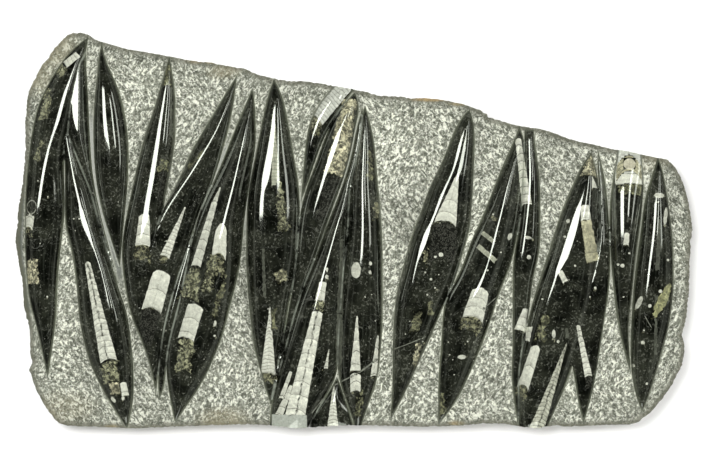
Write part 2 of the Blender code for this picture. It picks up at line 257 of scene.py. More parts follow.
        right=[(212, 69), (215, 60), (218, 45), (219.5, 20), (219.5, -10), (217, -45), (212, -70),
            (204, -95), (195, -122), (188, -142), (180, -160), (170, -182)],
        crest=[(-100, 0.35), (-64, 0.27), (-40, 0.3), (-20, 0.36), (0, 0.44), (14, 0.5), (38, 0.5)],
        lift=[(40, 1.1), (-40, 1.03), (-120, 0.85)],
        cuts=[(187, -18, 0.45, 0.2, -0.12)],
    ),
    "slim_right": dict(
        left=[(218, 71), (217, 60), (218.5, 45), (219.5, 0), (213, -32), (204, -60), (196, -84),
            (191, -104), (194.5, -121), (197, -135), (201, -160), (205, -174)],
        right=[(218, 71), (221.5, 58), (225, 38), (227.5, 10), (229, -20), (228, -50), (224, -78),
            (220, -105), (214, -140), (205, -174)],
        crest=[(-60, 0.25), (0, 0.12), (45, 0.2)],
        ridge=0.5,
        lift=[(60, 1.0), (0, 1.12), (-25, 1.0), (-50, 0.66), (-80, 0.42), (-110, 0.34),
            (-160, 0.3)],
    ),
    "domed_top": dict(
        left=[(237, 80), (235.5, 70), (232, 50), (229, 30), (228, 8), (229, -15), (231, -45),
            (235, -80), (241, -108), (247.5, -130)],
        right=[(257, 80), (257, 68), (259, 45), (257.5, 20), (255, 0), (251, -30), (248, -60),
            (245, -90), (246, -110), (247.5, -130)],
        crest=[(-25, 0.52), (0, 0.5), (20, 0.46), (50, 0.4)],
        lift=[(80, 0.08), (62, 0.2), (42, 0.7), (20, 0.9), (-10, 1.08), (-45, 1.3), (-80, 1.1)],
    ),
    "outer_right": dict(
        left=[(272, 65), (270, 60), (265, 45), (260, 28), (256.5, 0), (253, -25), (250, -50),
            (248, -80), (247, -110), (249, -135), (252, -150), (257.5, -163)],
        right=[(272, 65), (274.5, 60), (279, 38), (283, 10), (285.5, -12), (286, -45), (283, -78),
            (277, -105), (269, -132), (262, -154), (257.5, -163)],
        crest=[(-60, 0.34), (-36, 0.34), (-20, 0.4), (-5, 0.41), (10, 0.47), (23, 0.54)],
        ridge=0.2,
        lift=[(60, 0.7), (42, 0.78), (18, 1.08), (-40, 1.05)],
    ),
}

ROWS = np.arange(-190.0, 190.0, 1.0)  # heights at which each spindle's lines are worked out
BORDER_BLUR = 7.0  # the grinding wheel rounds off any bend of a border shorter than this
CREST_BLUR = 15.0  # and of a crest line
FAR = 400.0  # beyond both ends of every spindle


def smooth_line(points, blur):
    """x of a line through (x, y) points at every row, without overshoot, bends rounded off."""
    xs, ys = np.array(points, float).T
    order = np.argsort(ys)
    xs, ys = xs[order], ys[order]
    step = np.diff(ys)
    slope = np.diff(xs) / step
    tangent = np.concatenate([slope[:1], slope[:-1], slope[-1:]])
    inner = slope[:-1] * slope[1:]
    mean = 2 * inner / np.where(inner > 0, slope[:-1] + slope[1:], 1)
    tangent[1:-1] = np.where(inner > 0, mean, 0)
    y = np.arange(ys[0] - 1, ys[-1] + 1.5)
    k = np.clip(np.searchsorted(ys, y) - 1, 0, len(step) - 1)
    u = np.clip((y - ys[k]) / step[k], 0, 1)
    x = (1 + 2 * u) * (1 - u) ** 2 * xs[k] + u * (1 - u) ** 2 * step[k] * tangent[k]
    x += u**2 * (3 - 2 * u) * xs[k + 1] - u**2 * (1 - u) * step[k] * tangent[k + 1]
    reach = int(3 * blur)
    weight = np.exp(-0.5 * (np.arange(-reach, reach + 1) / blur) ** 2)
    before = 2 * x[0] - x[1 : reach + 1][::-1]
    after = 2 * x[-1] - x[-reach - 1 : -1][::-1]
    x = np.convolve(np.concatenate([before, x, after]), weight / weight.sum(), "same")
    return np.interp(ROWS, y, x[reach:-reach])


def along_rows(values, blur):
    """A (y, value) list as a smooth run of values at every row, level beyond its ends."""
    listed = [(value, y) for y, value in sorted(values)]
    return smooth_line([(listed[0][0], -FAR), *listed, (listed[-1][0], FAR)], blur)


for spindle in SPINDLES.values():
    left = smooth_line(spindle["left"], BORDER_BLUR)
    right = smooth_line(spindle["right"], BORDER_BLUR)
    width = np.maximum(right - left, 1e-6)
    low = max(spindle["left"][-1][1], spindle["right"][-1][1])
    high = min(spindle["left"][0][1], spindle["right"][0][1])
    rise = CREST_RISE * spindle.get("rise", 1.0) * np.clip(width / CREST_WIDTH, 0, 1) ** RISE_POWER
    rise *= along_rows(spindle.get("lift", [(0, 1.0)]), CREST_BLUR)
    share = along_rows(spindle["crest"], CREST_BLUR)
    spindle["rows"] = dict(
        left=left,
        crest=left + share * width,
        right=right,
        rise=np.where((ROWS > low) & (ROWS < high), rise, 0),
    )
NAMES = list(SPINDLES)


def across(spindle, x, y):
    """Place across a spindle: -1 at its left border, 0 on its crest, 1 at its right border."""
    rows = spindle["rows"]
    left, crest, right = (np.interp(y, ROWS, rows[k]) for k in ("left", "crest", "right"))
    to_left = (x - crest) / np.maximum(crest - left, 0.5)
    to_right = (x - crest) / np.maximum(right - crest, 0.5)
    return np.clip(np.where(x < crest, to_left, to_right), -1, 1)


def uncut_rise(spindle, x, y):
    """Height of one spindle above the matrix before its flats are ground, 0 outside its borders."""
    t = np.abs(across(spindle, x, y))
    ridge = spindle.get("ridge", 0.0)
    roof = (np.hypot(t, ROOF_SOFT) - ROOF_SOFT) / (np.hypot(1, ROOF_SOFT) - ROOF_SOFT)
    back = (1 - ridge) * (1 - t**2) ** ROUND_POWER + ridge * (1 - roof) ** ROOF_POWER
    return np.interp(y, ROWS, spindle["rows"]["rise"]) * back


def spindle_rise(spindle, x, y):
    """Height of one spindle's ground surface above the matrix, and 0 outside its borders."""
    rise = uncut_rise(spindle, x, y)
    for cx, cy, depth, slope_x, slope_y in spindle.get("cuts", []):
        level = uncut_rise(spindle, np.array([cx]), np.array([cy]))[0] - depth
        rise = np.minimum(rise, np.maximum(level + slope_x * (x - cx) + slope_y * (y - cy), 0))
    return rise


def all_rises(x, y):
    """The height of every spindle at each point, one row for each spindle."""
    return np.array([spindle_rise(spindle, x, y) for spindle in SPINDLES.values()])


def inside(ring, x, y):
    """True for each point inside a closed outline."""
    within = np.zeros(len(x), bool)
    for (ax, ay), (bx, by) in zip(ring, [*ring[1:], ring[0]]):
        crosses = (ay > y) != (by > y)
        within ^= crosses & (x < ax + (bx - ax) * (y - ay) / (by - ay if by != ay else 1))
    return within


def nearest(points, x, y):
    """Distance from each point to the nearest of a set of points."""
    tree = kdtree.KDTree(len(points))
    for i, (px, py) in enumerate(points):
        tree.insert((px, py, 0), i)
    tree.balance()
    return np.array([tree.find((px, py, 0))[2] for px, py in zip(x, y)])


RIM_STEP = 1.5  # between points along the broken outline
RIM_CHIP = 0.9  # depth of its small breaks
LINE_STEP = 1.5  # between points along a spindle's border
SCAN = 0.25  # how finely a row is searched for borders
SAME_LINE = 3.5  # a border doesn't step further sideways than this between rows
CLEAR_OF_RIM = 1.0  # borders stop this far from the outline
MATRIX_LATTICE = (1.45, 1.25)  # between points on the dressed matrix, fine enough for chisel marks
POLISHED_LATTICE = (1.05, 2.1)  # and on the spindles, where the surface turns fast across only
BACK_LATTICE = (12.0, 10.4)
CLEAR_OF_LINE = 0.8  # open points keep this far from borders
# Two spindles that have grown together get no painted valley highlight below this y.
NO_VALLEY_HIGHLIGHT_BELOW = {("forked_left", "forked_right"): 5, ("broad_right", "slim_right"): -20}
BARE = 0.02  # a surface this close to the matrix counts as matrix
MATRIX = -1


def broken_outline():
    """The outline at close steps, with small breaks that only cut inwards."""
    points = []
    middle = np.mean(SLAB, axis=0)
    for (ax, ay), (bx, by) in zip(SLAB, SLAB[1:] + SLAB[:1]):
        pieces = max(1, round(np.hypot(bx - ax, by - ay) / RIM_STEP))
        for i in range(pieces):
            x, y = ax + (bx - ax) * i / pieces, ay + (by - ay) * i / pieces
            chip = RIM_CHIP * abs(noise.noise(Vector((x / 4, y / 4, 3.1)))) * 2
            inward = (middle - (x, y)) / np.hypot(*(middle - (x, y)))
            points.append((x + inward[0] * chip, y + inward[1] * chip))
    return points


def traced_lines():
    """Every line where one surface gives way to the next: (the two surfaces, its points)."""
    x = np.arange(-308, 305, SCAN)
    done, growing = [], []
    for y in np.arange(-179.2, 178.6, LINE_STEP):
        rises = all_rises(x, np.full(len(x), y))
        top = np.where(rises.max(axis=0) > BARE, rises.argmax(axis=0), MATRIX)
        here = []
        for i in np.flatnonzero(np.diff(top)):
            a, b = top[i], top[i + 1]
            if MATRIX in (a, b):
                border = SPINDLES[NAMES[max(a, b)]]["rows"]["right" if b == MATRIX else "left"]
                at = np.interp(y, ROWS, border)
            else:
                gap = rises[a] - rises[b]
                at = x[i] + SCAN * gap[i] / (gap[i] - gap[i + 1])
            line = next(
                (g for g in growing if g[0] == (a, b) and abs(g[1][-1][0] - at) < SAME_LINE), None
            )
            if line:
                growing.remove(line)
            else:
                line = ((a, b), [])
            line[1].append((at, y))
            here.append(line)
        done += growing
        growing = here
    return [(pair, line) for pair, line in done + growing if len(line) > 2]


def lattice(across, up):
    """Staggered rows of points over the whole slab."""
    rows = []
    for i, y in enumerate(np.arange(-178.5, 178, up)):
        x = np.arange(-307 + (i % 2) * across / 2, 303.5, across)
        rows.append(np.column_stack([x, np.full(len(x), y)]))
    return np.concatenate(rows)


def triangulated(ring, points, borders=()):
    """Triangles inside a closed outline, over points and edges counted from the outline's end.

    Gives the net's points, its faces, the outline's places in it, and its outline and border edges.
    """
    flat = [Vector((float(x), float(y))) for x, y in [*ring, *points]]
    size = len(ring)
    edges = [(i, (i + 1) % size) for i in range(size)] + [(size + a, size + b) for a, b in borders]
    verts, lines, faces, sources, line_sources, _ = delaunay_2d_cdt(flat, edges, [], 0, 1e-5)
    on_ring = {new for new, olds in enumerate(sources) if any(old < size for old in olds)}
    went = {old: new for new, olds in enumerate(sources) for old in olds if old < size}
    kept = {tuple(sorted(line)) for line, olds in zip(lines, line_sources) if olds}
    net = np.array([(v.x, v.y) for v in verts])
    doubtful = [i for i, face in enumerate(faces) if on_ring.issuperset(face)]
    middle = np.array([net[list(faces[i])].mean(axis=0) for i in doubtful])
    outside = {i for i, good in zip(doubtful, inside(ring, *middle.T)) if not good}
    faces = [tuple(face) for i, face in enumerate(faces) if i not in outside]
    return net, faces, np.array([went[i] for i in range(size)]), kept


outline = broken_outline()
lines = traced_lines()
points = []
matrix_border, valley, taken = [], [], list(outline)
edges = []
for pair, line in lines:
    clear = nearest(outline, *np.array(line).T) > CLEAR_OF_RIM
    clear &= inside(outline, *np.array(line).T)
    for piece in np.split(np.arange(len(line)), np.flatnonzero(np.diff(clear.astype(int))) + 1):
        if clear[piece[0]] and len(piece) > 1:
            run = [line[i] for i in piece]
            edges += [(len(points) + i, len(points) + i + 1) for i in range(len(run) - 1)]
            points += run
            taken += run
            run += [tuple(np.add(a, b) / 2) for a, b in zip(run, run[1:])]
            if MATRIX in pair:
                matrix_border += run
            else:
                highlight_above = NO_VALLEY_HIGHLIGHT_BELOW.get(tuple(NAMES[k] for k in sorted(pair)), -FAR)
                valley += [(x, y) for x, y in run if y > highlight_above]
for steps, polished in ((MATRIX_LATTICE, False), (POLISHED_LATTICE, True)):
    open_points = lattice(*steps)
    open_points = open_points[inside(outline, *open_points.T)]
    on_spindle = all_rises(*open_points.T).max(axis=0) > BARE
    open_points = open_points[on_spindle == polished]
    free = nearest(taken, *open_points.T) > CLEAR_OF_LINE
    points += [tuple(p) for p in open_points[free]]
net, top_faces, ring, creases = triangulated(outline, points, edges)

# Smooth ground strips beside the spindles, where the chisel didn't reach: half width and line.
GROUND_STRIPS = [
    (5.0, [(-239, 118), (-237.5, 90), (-237, 60), (-234, 40), (-226, 12), (-219, -12),
           (-211, -45)]),
    (4.0, [(-262, 66), (-262.5, 20), (-263, 2)]),
    (3.0, [(-299, 98), (-301, 50), (-303, 10), (-304, -20), (-299, -60), (-293, -105)]),
    (2.5, [(-205, 45), (-209, 20), (-212, -5), (-213, -35), (-210, -60)]),
    (5.0, [(-113, 92), (-122, 66), (-132, 38), (-142, 10), (-152, -22), (-163, -60), (-175, -150)]),
    (4.0, [(-90.5, 90), (-94, 52), (-98, 18), (-100, -6), (-101, -18)]),
    (2.5, [(-50.5, 45), (-50.5, 15), (-53, -20)]),
    (4.5, [(3, 108), (-6, 72), (-14, 45), (-22, 15), (-34, -18), (-46, -48), (-56, -78),
           (-68, -125)]),
    (1.2, [(92, 2), (92, -30), (90, -50)]),
    (3.0, [(226, 38), (228.5, 10), (229.5, -20), (230, -52)]),
    (3.0, [(259, 34), (256, 5), (251, -30), (248.5, -58)]),
    (2.0, [(245.5, -84), (245.5, -118)]),
]
CHISEL_GAP = 1.2  # the chisel's chips reach their full depth this far from a spindle
STRIP_EDGE = 1.5  # width over which a ground strip gives way to chisel marks
STRIP_FADE = 22.0  # and length over which it does so at its ends

# Rust and earth in the broken rim: x, y, half length, half height, strength, 0 tan to 1 orange.
STAINS = [
    (67, 118, 16, 2.2, 1.0, 0.55), (92, 113.5, 9, 1.6, 0.6, 0.3), (-131, 151.5, 6, 1.2, 0.7, 0.4),
    (-120, 142, 14, 6, 0.35, 0.2), (-272, 162, 22, 18, 0.4, 0.1), (-120, -170, 22, 10, 0.4, 0.15),
    (-220, -177, 6, 1.6, 0.6, 0.3), (90, -174, 7, 2, 0.6, 0.4), (-285, 140, 14, 18, 0.35, 0.1),
    (-262, -160, 26, 14, 0.25, 0.15), (-145, 152, 8, 2, 0.4, 0.3), (262, 60, 20, 8, 0.2, 0.15),
]


def distance_to_line(x, y, line):
    """Distance from each point to the nearest stretch of a polyline."""
    best = np.full(len(x), FAR)
    for (ax, ay), (bx, by) in zip(line, line[1:]):
        run = (bx - ax) ** 2 + (by - ay) ** 2
        on = np.clip(((x - ax) * (bx - ax) + (y - ay) * (by - ay)) / run, 0, 1)
        best = np.minimum(best, np.hypot(x - ax - on * (bx - ax), y - ay - on * (by - ay)))
    return best


WALL_ROWS = 7  # rows of faces from the top edge down to the back
WALL_LEAN = 1.6  # how far the broken side wall comes in at the back
WALL_BULGE = 0.5  # and how far it swells out on the way
WALL_EASE = 4  # outline points over which the breaks even out towards the back
DRESSED, POLISHED, BROKEN, SAWN = range(4)

x, y = net.T
rises = all_rises(x, y)
rim_mm = nearest(outline, x, y)
worn = RIM_DROP * np.clip(1 - rim_mm / RIM_WIDTH, 0, 1) ** 2
z = np.minimum(MATRIX_LEVEL + rises.max(axis=0) - worn, TOP_LEVEL)
foot_mm = nearest(matrix_border, x, y) * np.where(rises.max(axis=0) > BARE, 1, -1)
valley_mm = nearest(valley, x, y)
strip = np.zeros(len(x))
for half, line in GROUND_STRIPS:
    share = (half + STRIP_EDGE - distance_to_line(x, y, line)) / STRIP_EDGE
    to_end = np.minimum(*(np.hypot(x - ex, y - ey) for ex, ey in (line[0], line[-1])))
    share = np.minimum(share, to_end / STRIP_FADE)
    strip = np.maximum(strip, np.clip(share, 0, 1))
rust = np.zeros(len(x))
orange = np.zeros(len(x))
for sx, sy, long, high, strength, hue in STAINS:
    near = strength * np.clip(1.6 - 1.2 * np.hypot((x - sx) / long, (y - sy) / high), 0, 1)
    orange = np.where(near > rust, hue, orange)
    rust = np.maximum(rust, near)

verts = np.column_stack([net, z])
faces = list(top_faces)
centres = np.array([net[list(face)].mean(axis=0) for face in top_faces])
face_rises = all_rises(*centres.T)
owner = np.where(face_rises.max(axis=0) > BARE, face_rises.argmax(axis=0), MATRIX)
zone = list(np.where(owner == MATRIX, DRESSED, POLISHED))
top_ring = verts[ring]
eased = sum(np.roll(top_ring[:, :2], k, axis=0) for k in range(-WALL_EASE, WALL_EASE + 1))
eased /= 2 * WALL_EASE + 1
along = np.roll(eased, -1, axis=0) - np.roll(eased, 1, axis=0)
inward = np.column_stack([-along[:, 1], along[:, 0]]) / np.linalg.norm(along, axis=1)[:, None]
inward *= np.where(inside(outline, *(eased + inward).T), 1, -1)[:, None]
last = ring
for row in range(1, WALL_ROWS + 1):
    down = row / WALL_ROWS
    step_in = WALL_LEAN * down**2 - WALL_BULGE * np.sin(np.pi * down) + WALL_BULGE
    level = top_ring[:, 2] * (1 - down)
    wall = top_ring[:, :2] * (1 - down) + eased * down
    new = np.column_stack([wall + inward * step_in, level])
    first = len(verts)
    verts = np.concatenate([verts, new])
    here = np.arange(first, first + len(ring))
    for i in range(len(ring)):
        j = (i + 1) % len(ring)
        faces.append((last[i], last[j], here[j], here[i]))
    zone += [BROKEN] * len(ring)
    last = here
back_ring = [tuple(p) for p in verts[last][:, :2]]
open_points = lattice(*BACK_LATTICE)
open_points = open_points[inside(back_ring, *open_points.T)]
open_points = open_points[nearest(back_ring, *open_points.T) > BACK_LATTICE[0] / 2]
back_net, back_faces, back_ends, _ = triangulated(back_ring, [tuple(p) for p in open_points])
back_index = np.full(len(back_net), -1)
back_index[back_ends] = last
loose = np.flatnonzero(back_index < 0)
loose_verts = np.arange(len(verts), len(verts) + len(loose))
back_index[loose] = loose_verts
verts = np.concatenate([verts, np.column_stack([back_net[loose], np.zeros(len(loose))])])
faces += [tuple(back_index[i] for i in reversed(face)) for face in back_faces]
zone += [SAWN] * len(back_faces)

middle = (np.max(SLAB, axis=0) + np.min(SLAB, axis=0)) / 2
placed = (verts - (*middle, 0)) * MM
slab_mesh = bpy.data.meshes.new("fossil_relief_slab")
slab_mesh.from_pydata(placed.tolist(), [], [tuple(int(i) for i in face) for face in faces])
sharp = creases | {tuple(sorted((int(a), int(b)))) for a, b in zip(last, np.roll(last, -1))}
edge_ends = np.empty(len(slab_mesh.edges) * 2, int)
slab_mesh.edges.foreach_get("vertices", edge_ends)
is_sharp = [tuple(sorted(pair)) in sharp for pair in edge_ends.reshape(-1, 2).tolist()]


def keep_values(name, kind, domain, values):
    """Store one value for each point, edge, face or face corner of the slab under a name."""
    field = {"FLOAT_VECTOR": "vector", "FLOAT_COLOR": "color"}.get(kind, "value")
    stored = slab_mesh.attributes.get(name) or slab_mesh.attributes.new(name, kind, domain)
    stored.data.foreach_set(field, np.asarray(values).ravel())


count = len(verts)
on_top = np.zeros(count)
on_top[: len(net)] = 1
padding = np.zeros(count - len(net))
dressed = np.clip(-foot_mm / CHISEL_GAP, 0, 1) * (1 - strip)
dressed[ring] = 0
wall = 1 - on_top
wall[np.concatenate([last, loose_verts])] = 0
keep_values("sharp_edge", "BOOLEAN", "EDGE", is_sharp)
keep_values("zone", "INT", "FACE", zone)
for name, values, elsewhere in (
    ("foot_mm", foot_mm, -FAR), ("valley_mm", valley_mm, FAR), ("rim_mm", rim_mm, 0),
    ("ground_strip", strip, 0), ("rust", rust, 0), ("orange", orange, 0), ("dressed", dressed, 0),
):
    keep_values(name, "FLOAT", "POINT", np.concatenate([values, padding + elsewhere]))
keep_values("broken", "FLOAT", "POINT", wall)

# ---------------------------------------------------------------------------------------------
# The shells
# Straight orthoceras shells of calcite, cut lengthwise by the grinding: each is a long cone of
# chambers parted by curved septa, often with mottled brown calcite at its wide end. They lie in
# the polished surface, so each is kept as a place on it, for the stone's own material to show.
# ---------------------------------------------------------------------------------------------
# Each style: the shell's colour, that of its wide end, how mottled, width of the siphuncle (mm),
# how strong the septa are, and its form.
BODY, OVAL, RING = 0.0, 0.5, 1.0
STYLES = {
    "cream": ("#C4C6B6", "#63634D", 0.15, 0.0, 0.7, BODY),
    "bold": ("#C4C6B6", "#6A6A55", 0.2, 0.0, 1.0, BODY),
    "siphon": ("#C4C6B6", "#66664F", 0.25, 0.7, 0.7, BODY),
    "dotted": ("#A9AB99", "#5F5F4B", 0.3, 0.7, 1.0, BODY),
    "pale": ("#9DA08C", "#66664F", 0.3, 0.0, 0.5, BODY),
    "ghost": ("#4A4D43", "#3A3C33", 0.45, 0.0, 0.3, BODY),
    "khaki": ("#66674F", "#3C3C27", 0.9, 0.0, 0.0, BODY),
    "beige": ("#A5A286", "#505039", 0.85, 0.0, 0.0, BODY),
    "mottled": ("#7B7C63", "#3F3F2A", 0.95, 0.0, 0.0, BODY),
    "grey": ("#B6B9AD", "#6F6F5B", 0.25, 0.0, 0.6, BODY),
    "tan": ("#A3A184", "#6E6C52", 0.42, 0.0, 0.8, BODY),
    "tan_oval": ("#B3B099", "#8C8A72", 0.25, 0.0, 0.0, OVAL),
    "green_oval": ("#8F9068", "#6A6A48", 0.55, 0.0, 0.0, OVAL),
    "dark": ("#171814", "#1B1C19", 0.0, 0.0, 0.1, BODY),
    "facet": ("#9A9F94", "#9A9F94", 0.05, 0.0, 0.0, BODY),
    "vein_and_sheen": ("#74776B", "#74776B", 0.1, 0.0, 0.0, BODY),
    "oval": ("#BBBDAD", "#8C8C74", 0.15, 0.0, 0.0, OVAL),
    "brown_oval": ("#85846A", "#4C4B35", 0.85, 0.0, 0.0, OVAL),
    "ring": ("#84867A", "#6F6F5A", 0.2, 0.0, 0.0, RING),
}
# Each shell: x and y of its narrow end, x and y of its wide end, half width at both, spacing of
# its septa, how far they arch up in the middle, and length of the mottled calcite past its end.
# The last values may be left out where they are those of a shell without septa.
SHELLS = {
    "cream": [
        (-249, 158, -262, 148, 3.2, 3.6, 4.0), (-292, 17.5, -294, 3, 4.8, 4.6, 6.5, 2.5, 6),
        (-209, -136, -207, -148, 2.8, 3.2, 9, 1), (-189.5, 15, -191, -13, 4.6, 6.8, 9, 2, 14),
        (-173.2, -36.5, -182.8, -70, 8.0, 9.0, 17, 4), (-153, 21, -171, -23, 0.6, 4.4, 3.2, 1, 7),
        (-126.5, 26, -143.5, -32, 2.6, 4.5, 9, 1.5), (-121.5, 39, -126.5, 26, 0.5, 2.2, 9, 1),
        (-143, -66, -152, -96, 7.6, 7.6, 13, 3), (-77, -69, -79, -128, 0.4, 6.7, 3.1, 2, 9),
        (-29.5, -46, -32.5, -63, 3.4, 4.3, 9, 1), (-57.5, -139, -69, -166, 2.0, 3.4, 7, 1),
        (-24, -106, -27, -124, 0.4, 1.8, 4, 0.5), (-20, -139, -21, -179, 0.5, 5.4, 3.1, 1.5),
        (91.5, 51, 80.5, 8, 1.0, 9.8, 12, 3.5), (112.5, -52, 105.5, -77, 7.4, 9.6, 8.5, 4, 13),
        (154, -71, 147.5, -90, 4.0, 5.4, 8, 1), (156, -86, 154, -99, 2.6, 2.0, 5, 1),
        (204.5, 23, 206, 9, 4.0, 4.8, 6, 1.5), (182, -36, 187, -46, 2.4, 2.6, 9, 1),
        (161.5, -103.5, 150.5, -139, 4.2, 5.0, 19, 3, 11), (243, -2.5, 242, -13, 2.4, 2.6, 9, 1),
        (245.5, 52, 245.5, 41.5, 12.8, 12.8, 30, 1), (212, 48, 214, 38, 0.3, 2.6, 20),
        (-120, 6, -122.5, -20, 4.6, 6.4, 30, 7, 20),
    ],
    "bold": [
        (1, -76, -0.5, -126, 0.6, 4.8, 11, 1.5), (-0.5, -128, -0.5, -144, 4.9, 4.6, 8, 2.5),
        (19.8, -94, 16, -131.5, 0.8, 3.3, 12, 1), (145.5, 83, 153.5, 23, 2.8, 4.4, 7.3, 1.2),
        (199.2, -85, 209, -131, 1.8, 3.5, 5.0, 1.2), (-58, -126, -67, -151, 1.5, 2.3, 12, 1),
    ],
    "siphon": [(-241, -28, -222, -116, 2.6, 7.8, 5.2, 2), (-34, -72, -54.5, -166, 4.6, 9.0, 13, 2)],
    "dotted": [(189, -101, 162, -180, 0.6, 7.0, 3.6, 2)],
    "pale": [
        (113, -2, 124, -11, 2.1, 2.0, 7, 0.5), (109, -14, 125, -28, 2.2, 2.3, 7, 0.5),
        (-74, 104, -72, 40, 1.4, 3.6, 3.3, 0.6),
    ],
    "ghost": [
        (-13, -8, -14.5, -75, 1.2, 3.0, 90), (-14.5, -75, -16, -136, 3.0, 3.0, 90),
        (-83, -16, -82, -60, 1.2, 1.4, 8, 0.5), (220.5, 62, 223.5, 28, 1.6, 2.6),
        (272, 10, 270, -36, 1.5, 2.2, 40, 0.5), (232, 42, 232, -6, 1.6, 2.0, 60),
        (269, -58, 268.5, -112, 1.6, 1.2, 60), (188.5, -88, 189, -97, 1.6, 1.6, 20, 1),
        (-166, 128, -166, 84, 1.0, 1.2, 8), (125, 16, 121, 11, 0.8, 0.8, 8),
    ],
    "khaki": [
        (-169, 151, -170, 129, 1.6, 4.0), (-137, 69, -150, 57, 1.4, 2.0),
        (-172, 63, -173, 54, 4.2, 4.2, 9, 2), (-117, -40, -127, -76, 1.8, 2.6),
        (-34, 101, -38, 88, 6.0, 4.5), (12, 74, 13, 44, 1.8, 2.8), (-74, -71, -73.5, -90, 1.8, 2.6),
        (6, -142, 1, -166, 1.6, 2.2), (56, -74, 53, -91, 4.0, 4.2), (67, -64, 66, -76, 2.4, 2.4),
        (246, 41.5, 246, 32, 11.0, 9.5, 20, 1), (170, -77, 164, -99, 3.4, 4.2),
        (77, -147, 77, -166, 2.2, 2.6),
    ],
    "beige": [
        (212, 67, 209.5, 50, 2.4, 8.2, 9, 3), (-291, -27, -290, -48, 5.0, 6.4),
        (-217, -136.5, -216, -147, 4.4, 4.4), (-5, 119, -19, 50, 6.0, 10.0, 22, 3),
        (55.5, -103, 53, -121, 2.0, 2.6),
    ],
    "mottled": [
        (-262, 147, -269, 139, 4.0, 4.4), (-276, 126, -281, 99, 3.4, 4.2),
        (-281, 82, -287, 62, 2.0, 2.4), (-33, -63, -34, -72, 4.0, 4.4),
        (-222, -117.5, -219, -136, 7.6, 7.2, 9, 1), (-144.5, -33.5, -150, -61, 5.6, 8.4, 9, 1),
        (-128, -22, -134, -56, 3.0, 4.4, 9, 1), (-69, 44, -65, 0, 2.6, 5.0, 9, 1),
        (-152, -97.5, -155, -126, 7.8, 6.6, 9, 2),
    ],
    "grey": [(-9, 131, -35, 101, 6.8, 8.2, 3.4, 1, 12), (245.5, 80, 245.5, 50, 11.5, 13.5, 90)],
    "facet": [(-60, -165.5, -60, -184, 16.0, 16.0, 90)],
    "vein_and_sheen": [
        (-40, -165, -20, -140, 0.5, 0.6), (-20, -140, 4, -127, 0.6, 0.7),
        (4, -127, 15, -119, 0.7, 0.9), (15, -119, 25, -111, 0.9, 0.6),
        (34, -107, 62, -96, 0.5, 0.4), (114, -71, 128, -59, 0.5, 0.4),
        (258, -76, 265, -88, 0.5, 0.4), (255, 24, 250, -6, 0.3, 0.3),
        # The three lines from (-118, 70) to (-150, -12) are not veins: they are painted sheen, for
        # light caught along a steep polished flank.
        (-118, 70, -127, 45, 0.5, 0.7, 90), (-127, 45, -140, 18, 0.7, 0.7, 90),
        (-140, 18, -150, -12, 0.7, 0.5, 90), (253, 22, 248.5, -8, 0.3, 0.3, 90),
    ],
    "tan": [(206, 9, 212.5, -28, 4.8, 6.2, 30), (245.5, 68, 245.5, 53, 9.0, 11.6, 4.2, 9)],
    "tan_oval": [(246, 64.5, 246, 54, 5.6, 5.6)],
    "green_oval": [(282, -49, 267, -78, 4.6, 4.6)],
    "dark": [
        (80.5, 6.5, 77, -26, 11.0, 12.5, 40, 5), (-183, -70.5, -190, -101, 8.8, 7.0, 40, 4),
        (-18, 48, -26, 12, 9.2, 8.4, 40, 4), (-172.5, 53, -174, 20, 5.0, 4.0, 40, 3),
        (209, -132, 210, -142, 3.4, 2.6, 9, 1),
    ],
    "oval": [
        (0, -28.5, 0, -43.5, 4.4, 4.4), (139.3, -2.5, 136.7, -9.5, 2.0, 2.0),
        (151, -6.3, 158, -7.7, 1.5, 1.5), (154, -22.5, 156, -26, 2.0, 2.0),
        (267, 31, 277, 31, 2.5, 2.5), (279, 21, 276.8, 4, 1.9, 1.9),
        (256.5, -59, 251.3, -71, 2.2, 2.2), (91, -114, 99, -114, 2.0, 2.0),
        (-220, -150, -216, -155, 1.7, 1.7), (-209, -149, -209, -153, 1.5, 1.5),
        (-26, -33, -26, -38, 1.2, 1.2), (-26.5, -40, -26, -44, 1.6, 1.6),
        (13, -28, 13, -32, 1.4, 1.4), (12, -36, 13, -40, 1.4, 1.4),
        (177, -88.5, 177, -97.5, 1.7, 1.7), (-126, -81, -127, -87, 1.5, 1.5),
    ],
    "brown_oval": [
        (-67, -35.5, -67, -46.5, 5.4, 5.4), (62, -16, 62.5, -30, 1.8, 1.8),
        (18, 27, 18, 10, 2.2, 2.2), (121, 13, 126, 9, 1.2, 1.2),
    ],
    "ring": [(-290, 27, -292, 14, 5.0, 5.0, 9, 3)],
}
# Small white spots: x, y, radius.
SPOTS = [
    (-248, 10, 1.1), (-253, 10, 0.9), (76, -22, 2.2), (71, -24, 1.4), (190, 8, 1.8), (187, -6, 1.3),
    (196, -32, 1.2), (181, -100, 1.3), (239, -32, 1.9), (235, -31, 1.2), (245, -21, 1.1),
    (271, 25, 1.0), (280, -27, 1.3), (257, -101, 1.8), (249, -122, 1.6), (261, -138, 1.3),
    (273, -55, 1.8), (263, -68, 1.8), (-127, -95, 1.1), (215, -52, 1.3), (123, 14, 1.1),
    (62, -38, 0.9), (67, -44, 1.3), (71, -52, 0.9), (74, -40, 0.8), (64, -58, 1.0), (-60, 20, 0.8),
    (-285, 44, 0.8), (-276, 30, 0.7), (-283, -12, 0.7), (-277, -60, 0.9), (-230, -60, 0.6),
    (-170, -10, 0.8), (8, -60, 0.8), (14, -58, 0.8), (60, -100, 0.8), (262, -40, 0.9),
    (258, -90, 0.8), (240, -60, 0.8), (210, -60, 0.8), (167, -62, 0.9), (130, -20, 0.9),
    (118, -36, 0.9), (146, -2, 0.9), (100, -100, 0.8), (88, -130, 0.8), (84, -112, 0.7),
]
NO_SEPTA = (9, 0, 0)
SHELL_REACH = 3.0  # a face this far outside a shell still carries its values


